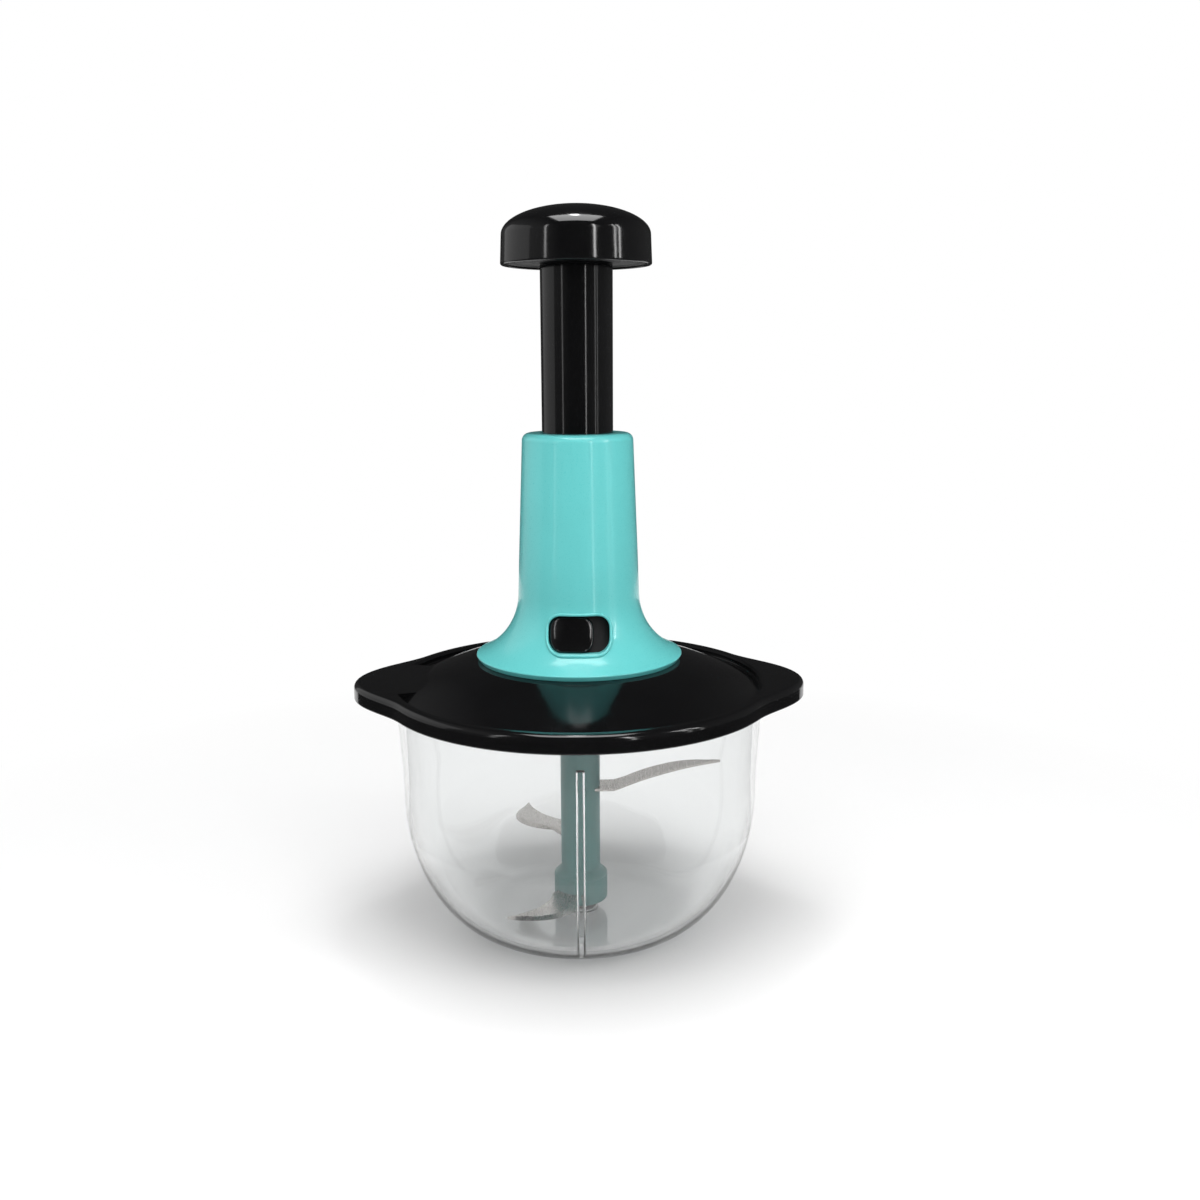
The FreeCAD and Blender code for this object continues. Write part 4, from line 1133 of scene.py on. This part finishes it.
def make_blade(sizes, name, root, tip, level, tilt, azimuth):
    """One blade: a curved strip ground along its leading edge, bent up or down past the shaft."""
    steps = 26
    middle = (sizes.bend + tip) / 2
    end = (tip, -sizes.sweep)
    lead = three_point_arc((sizes.bend, sizes.root_half), (middle, sizes.bow), end, steps)
    trail = three_point_arc((sizes.bend, -sizes.root_half), (middle, sizes.bow - sizes.width), end, steps)
    stations = 2
    columns = steps + 1 + stations
    rows = 4
    # The bevel grows to its width over the first columns, and stays under this share of the blade.
    run_in = 3
    widest_grind = 0.45
    deselect()
    bpy.ops.mesh.primitive_grid_add(x_subdivisions=columns - 1, y_subdivisions=rows - 1, size=2.0)
    blade = new_piece(name)

    def shaped(point):
        column = round((point.x + 1) / 2 * (columns - 1))
        row = round((point.y + 1) / 2 * (rows - 1))
        if column < stations:
            along = root + (sizes.bend - root) * column / stations
            front, back = (along, sizes.root_half), (along, -sizes.root_half)
            ground = 0.0
        else:
            front, back = lead[column - stations], trail[column - stations]
            ground = sizes.grind * min(1.0, (column - stations) / run_in)
        width = math.hypot(front[0] - back[0], front[1] - back[1])
        ground = min(ground, widest_grind * width)
        start = ground / width if width > WELD else 0.0
        part = (0.0, (1 - start) / 2, 1 - start, 1.0)[row]
        height = sizes.thickness
        if row == rows - 1 and ground > 0:
            height = sizes.edge
        return Vector((back[0] + (front[0] - back[0]) * part, back[1] + (front[1] - back[1]) * part, height))

    move_points(blade, shaped)
    edit(blade)
    bpy.ops.mesh.select_all(action="SELECT")
    bpy.ops.mesh.extrude_region_move(TRANSFORM_OT_translate={"value": (0, 0, 0)})
    bpy.ops.transform.resize(value=(1, 1, 0), center_override=(0, 0, 0))
    weld()
    bpy.ops.mesh.dissolve_degenerate(threshold=WELD)
    bpy.ops.object.mode_set(mode="OBJECT")
    slope = math.tan(tilt)
    soft = 2.0 * MM

    def bent(point):
        past = point.x - sizes.bend
        if past < -soft:
            rise = 0.0
        elif past < soft:
            rise = slope * (past + soft) ** 2 / (4 * soft)
        else:
            rise = slope * past
        lifted = Vector((point.x, point.y, point.z + level + rise))
        return Matrix.Rotation(azimuth, 3, "Z") @ lifted

    move_points(blade, bent)
    tidy_normals(blade)
    return blade


class CHOPPER_OT_blades(bpy.types.Operator):
    """Make the three blades, each ground along its leading edge."""
    bl_idname = "chopper.blades"
    bl_label = "Blades"

    def execute(self, context):
        sizes = context.scene.chopper_blades
        colours = context.scene.chopper_colours
        for node, root, tip, tilt, azimuth in BLADES:
            level = low(node) if tilt > 0 else high(node) - sizes.thickness
            turn_by = math.radians(azimuth)
            blade = make_blade(sizes, "steel_" + node, root, tip, level, math.radians(tilt), turn_by)
            material = brushed_steel(colours, "ground_" + node, turn_by)
            dress(blade, "blades", material.name, [node], sharp=8.0)
        return {"FINISHED"}


class CHOPPER_OT_housing(bpy.types.Operator):
    """Make the clutch's housing under the lid: a spun cup with a nose and a screwed flange."""
    bl_idname = "chopper.housing"
    bl_label = "Spindle housing"

    def execute(self, context):
        sizes = context.scene.chopper_housing
        bottom, top = low("spindle_housing"), high("spindle_housing")
        flange = reach("spindle_housing")
        body = sizes.body_radius
        floor_under = bottom + sizes.nose_height
        floor_top = floor_under + sizes.floor
        flange_under = top - sizes.flange
        bore = body - sizes.wall
        points = section([
            (sizes.journal, bottom, 0.2 * MM),
            (sizes.nose_radius, bottom, 0.8 * MM),
            (sizes.nose_radius, floor_under, 0.8 * MM),
            (body, floor_under, 1.2 * MM),
            (body, flange_under, 1.2 * MM),
            (flange, flange_under, 0.6 * MM),
            (flange, top),
            (bore, top),
            (bore, floor_top),
            (sizes.journal, floor_top),
        ])
        housing = turn("clutch_housing", points, 96)
        dress(housing, "lid", "gloss_black_abs", ["spindle_housing"])
        return {"FINISHED"}


class CHOPPER_OT_seal(bpy.types.Operator):
    """Make the lid's seal: a soft ring with two thin lips."""
    bl_idname = "chopper.seal"
    bl_label = "Lid seal"

    def execute(self, context):
        sizes = context.scene.chopper_housing
        root = context.scene.chopper_lid.plug_radius
        bottom, top = low("lid_seal"), high("lid_seal")
        lip = reach("lid_seal")
        body = lip - sizes.seal_lips
        fillet = sizes.lip_round
        lip_height = (top - bottom) / 4
        middle = (bottom + top) / 2
        points = section([
            (root, bottom),
            (body, bottom, fillet),
            (lip, bottom + lip_height, fillet),
            (body, middle, fillet),
            (lip, top - lip_height, fillet),
            (body, top, fillet),
            (root, top),
        ], steps=3)
        seal = turn("silicone_seal", points, 180)
        dress(seal, "lid", "moulded_silicone", ["lid_seal"])
        return {"FINISHED"}


class CHOPPER_OT_spring(bpy.types.Operator):
    """Make the return spring as one coiled wire."""
    bl_idname = "chopper.spring"
    bl_label = "Return spring"

    def execute(self, context):
        bottom, top = low("return_spring"), high("return_spring")
        wire = context.scene.chopper_plunger.spring_wire
        turns = 16
        steps = 24
        deselect()
        middle = reach("return_spring") - wire
        bpy.ops.mesh.primitive_circle_add(vertices=10, radius=wire, location=(middle, 0, bottom + wire),
                                          rotation=(math.radians(90), 0, 0))
        spring = new_piece("coil_spring")
        bpy.ops.object.transform_apply(location=True, rotation=True, scale=True)
        screw = spring.modifiers.new("Coil", "SCREW")
        screw.axis = "Z"
        screw.angle = math.tau
        screw.iterations = turns
        screw.screw_offset = (top - bottom - 2 * wire) / turns
        screw.steps = steps
        screw.render_steps = steps
        bpy.ops.object.modifier_apply(modifier=screw.name)
        edit(spring)
        bpy.ops.mesh.select_all(action="SELECT")
        bpy.ops.mesh.fill_holes(sides=0)
        tidy_normals(spring)
        dress(spring, "lid", "drawn_steel", ["return_spring"], sharp=50.0)
        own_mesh(spring)
        return {"FINISHED"}


def seen_rays(owner):
    """One where a ray comes from the camera, from gloss or through glass, and zero elsewhere."""
    path = add_node(owner, "ShaderNodeLightPath", {}).outputs
    seen = path["Is Camera Ray"]
    for ray in ("Is Glossy Ray", "Is Transmission Ray"):
        seen = add_node(owner, "ShaderNodeMath", {0: seen, 1: path[ray]}, operation="MAXIMUM").outputs[0]
    return seen


def white_backdrop():
    """World that shows white to the camera and in glass and gloss, and lights the object evenly."""
    world = bpy.data.worlds.new("studio")
    bpy.context.scene.world = world
    world.use_nodes = True
    world.node_tree.nodes.clear()
    ambient = bpy.context.scene.chopper_studio.ambient
    lit = add_node(world, "ShaderNodeBackground", {"Color": WHITE, "Strength": ambient})
    shown = add_node(world, "ShaderNodeBackground", {"Color": WHITE, "Strength": 1.0})
    inputs = {0: seen_rays(world), 1: lit.outputs[0], 2: shown.outputs[0]}
    both = add_node(world, "ShaderNodeMixShader", inputs)
    add_node(world, "ShaderNodeOutputWorld", {"Surface": both.outputs[0]})


def from_axis(material, start, end, first, last):
    """Value that changes from one to another between two distances from the middle of the table."""
    coordinates = add_node(material, "ShaderNodeTexCoord", {})
    place = {0: coordinates.outputs["Object"]}
    distance = add_node(material, "ShaderNodeVectorMath", place, operation="LENGTH")
    inputs = {"Value": distance.outputs["Value"], **ramp(start, end, first, last)}
    return add_node(material, "ShaderNodeMapRange", inputs).outputs["Result"]


def pale_floor():
    """Matt white floor that fades into the white background away from the object."""
    material = new_material("pale_floor")
    fade = from_axis(material, 0.12, 0.42, 0.0, 1.0)
    both = add_node(material, "ShaderNodeMath", {0: fade, 1: seen_rays(material)}, operation="MULTIPLY")
    matt = add_node(material, "ShaderNodeBsdfDiffuse", {"Color": opaque(colour("F6F6F6"))})
    white = add_node(material, "ShaderNodeEmission", {"Color": WHITE, "Strength": 1.0})
    inputs = {0: both.outputs[0], 1: matt.outputs[0], 2: white.outputs[0]}
    mixed = add_node(material, "ShaderNodeMixShader", inputs)
    add_node(material, "ShaderNodeOutputMaterial", {"Surface": mixed.outputs[0]})
    deselect()
    bpy.ops.mesh.primitive_circle_add(vertices=96, radius=8.0, fill_type="NGON", location=(0, 0, -0.1 * MM))
    floor = new_piece("floor")
    floor.data.materials.append(material)


def glow(material, strength):
    """Gives a material a white glow of a strength that nodes lead, for the painted reflections."""
    light = add_node(material, "ShaderNodeEmission", {"Color": WHITE, "Strength": strength})
    add_node(material, "ShaderNodeOutputMaterial", {"Surface": light.outputs[0]})
    return material


def tent_cloth():
    """Painted reflections: a glowing sheet that only gloss shows, grey on the left and more so higher up, dim
    on the right, so that black gloss shows its form.
    """
    material = new_material("tent_cloth")
    coordinates = add_node(material, "ShaderNodeTexCoord", {})
    axes = add_node(material, "ShaderNodeSeparateXYZ", {0: coordinates.outputs["Object"]}).outputs
    # Painted reflection: a grey glow on the left that grows with height, and a faint glow on the right.
    left = {"Value": axes["X"], **ramp(-0.85, -0.35, 0.28, 0.0)}
    lift = {"Value": axes["Z"], **ramp(0.15, 0.4, 0.3, 1.0)}
    right = {"Value": axes["X"], **ramp(0.35, 0.85, 0.03, 0.12)}
    parts = {}
    for index, inputs in enumerate((left, lift, right)):
        parts[index] = add_node(material, "ShaderNodeMapRange", inputs).outputs["Result"]
    level = add_node(material, "ShaderNodeMath", parts, operation="MULTIPLY_ADD")
    return glow(material, level.outputs[0])


def table_card():
    """Painted reflection: a glowing card, dark far out, that brightens towards the object to the tone of the
    lit floor there, so that its edge doesn't show.
    """
    material = new_material("table_card")
    # Painted reflection of the floor: glows 0.7 at the inner edge and 0.04 at the outer.
    return glow(material, from_axis(material, 0.13, 0.36, 0.7, 0.04))


def only_in_gloss(piece):
    """Makes a stage piece that nothing but gloss shows."""
    for ray in ("camera", "diffuse", "transmission", "volume_scatter", "shadow"):
        setattr(piece, "visible_" + ray, False)


def painted_reflection_set():
    """Glowing tent round the set and glowing card on the table, which only gloss shows: painted reflections,
    mostly dark so that black gloss stays black. The card is open behind the object."""
    deselect()
    bpy.ops.mesh.primitive_uv_sphere_add(segments=48, ring_count=24, radius=0.95, location=(0, 0, 0.1))
    tent = new_piece("tent")
    tent.data.materials.append(tent_cloth())
    only_in_gloss(tent)
    inner, outer = 0.13, 0.9
    thick = 0.5 * MM
    half_gap = math.radians(55)
    card = turn("card", [(inner, 0.0), (outer, 0.0), (outer, thick), (inner, thick)], 48,
                start=math.pi / 2 + half_gap, sweep=math.tau - 2 * half_gap)
    card.data.materials.append(table_card())
    only_in_gloss(card)


def softbox(name, azimuth, distance, height, width, tall, brightness, glossy):
    """Area light of an even brightness, aimed at the object's middle; azimuth 0 is the camera's side."""
    turn_by = math.radians(azimuth)
    place_at = Vector((distance * math.sin(turn_by), -distance * math.cos(turn_by), height))
    aim = Vector((0, 0, 0.15)) - place_at
    rotation = aim.to_track_quat("-Z", "Y").to_euler()
    deselect()
    bpy.ops.object.light_add(type="AREA", location=place_at, rotation=rotation)
    light = new_piece(name)
    light.data.shape = "RECTANGLE"
    light.data.size = width
    light.data.size_y = tall
    light.data.energy = brightness * math.pi * width * tall
    light.visible_camera = False
    light.visible_transmission = False
    light.visible_glossy = glossy


class CHOPPER_OT_stage(bpy.types.Operator):
    """Make the floor, the backdrop, the lights and the camera."""
    bl_idname = "chopper.stage"
    bl_label = "Stage"

    def execute(self, context):
        studio = context.scene.chopper_studio
        white_backdrop()
        pale_floor()
        painted_reflection_set()
        for light in SOFTBOXES:
            softbox(*light)
        tilt = Euler((math.radians(90) - studio.camera_pitch, 0, -studio.camera_pan)).to_matrix()
        turned = (tilt @ Matrix.Rotation(-studio.camera_roll, 3, "Z")).to_euler()
        deselect()
        stand = (0, -studio.camera_distance, studio.camera_height)
        bpy.ops.object.camera_add(location=stand, rotation=turned)
        camera = new_piece("camera")
        camera.data.sensor_width = 36.0
        camera.data.lens = studio.focal_length
        camera.data.clip_start = 0.01
        camera.data.clip_end = 50.0
        context.scene.camera = camera
        context.scene.view_settings.view_transform = "Standard"
        return {"FINISHED"}


class CHOPPER_PT_panel(bpy.types.Panel):
    """Lists the steps that make the chopper."""
    bl_idname = "CHOPPER_PT_panel"
    bl_label = "Food chopper"
    bl_space_type = "VIEW_3D"
    bl_region_type = "UI"
    bl_category = "Chopper"

    def draw(self, context):
        column = self.layout.column(align=True)
        for operator in OPERATORS:
            column.operator(operator.bl_idname)


OPERATORS = (
    CHOPPER_OT_finishes,
    CHOPPER_OT_bowl,
    CHOPPER_OT_lid,
    CHOPPER_OT_handle,
    CHOPPER_OT_button,
    CHOPPER_OT_tube,
    CHOPPER_OT_knob,
    CHOPPER_OT_shaft,
    CHOPPER_OT_blades,
    CHOPPER_OT_housing,
    CHOPPER_OT_seal,
    CHOPPER_OT_spring,
    CHOPPER_OT_stage,
)
GROUPS = {
    "chopper_bowl": ChopperBowlSizes,
    "chopper_lid": ChopperLidSizes,
    "chopper_handle": ChopperHandleSizes,
    "chopper_plunger": ChopperPlungerSizes,
    "chopper_blades": ChopperBladeSizes,
    "chopper_housing": ChopperHousingSizes,
    "chopper_colours": ChopperColours,
    "chopper_studio": ChopperStudio,
}


def register():
    for group in GROUPS.values():
        bpy.utils.register_class(group)
    for kind in OPERATORS + (CHOPPER_PT_panel,):
        bpy.utils.register_class(kind)
    for name, group in GROUPS.items():
        setattr(bpy.types.Scene, name, bpy.props.PointerProperty(type=group))


def unregister():
    for name in GROUPS:
        delattr(bpy.types.Scene, name)
    for kind in reversed(tuple(GROUPS.values()) + OPERATORS + (CHOPPER_PT_panel,)):
        bpy.utils.unregister_class(kind)


def main():
    register()
    for operator in OPERATORS:
        group, step = operator.bl_idname.split(".")
        getattr(getattr(bpy.ops, group), step)()


if __name__ == "__main__":
    main()
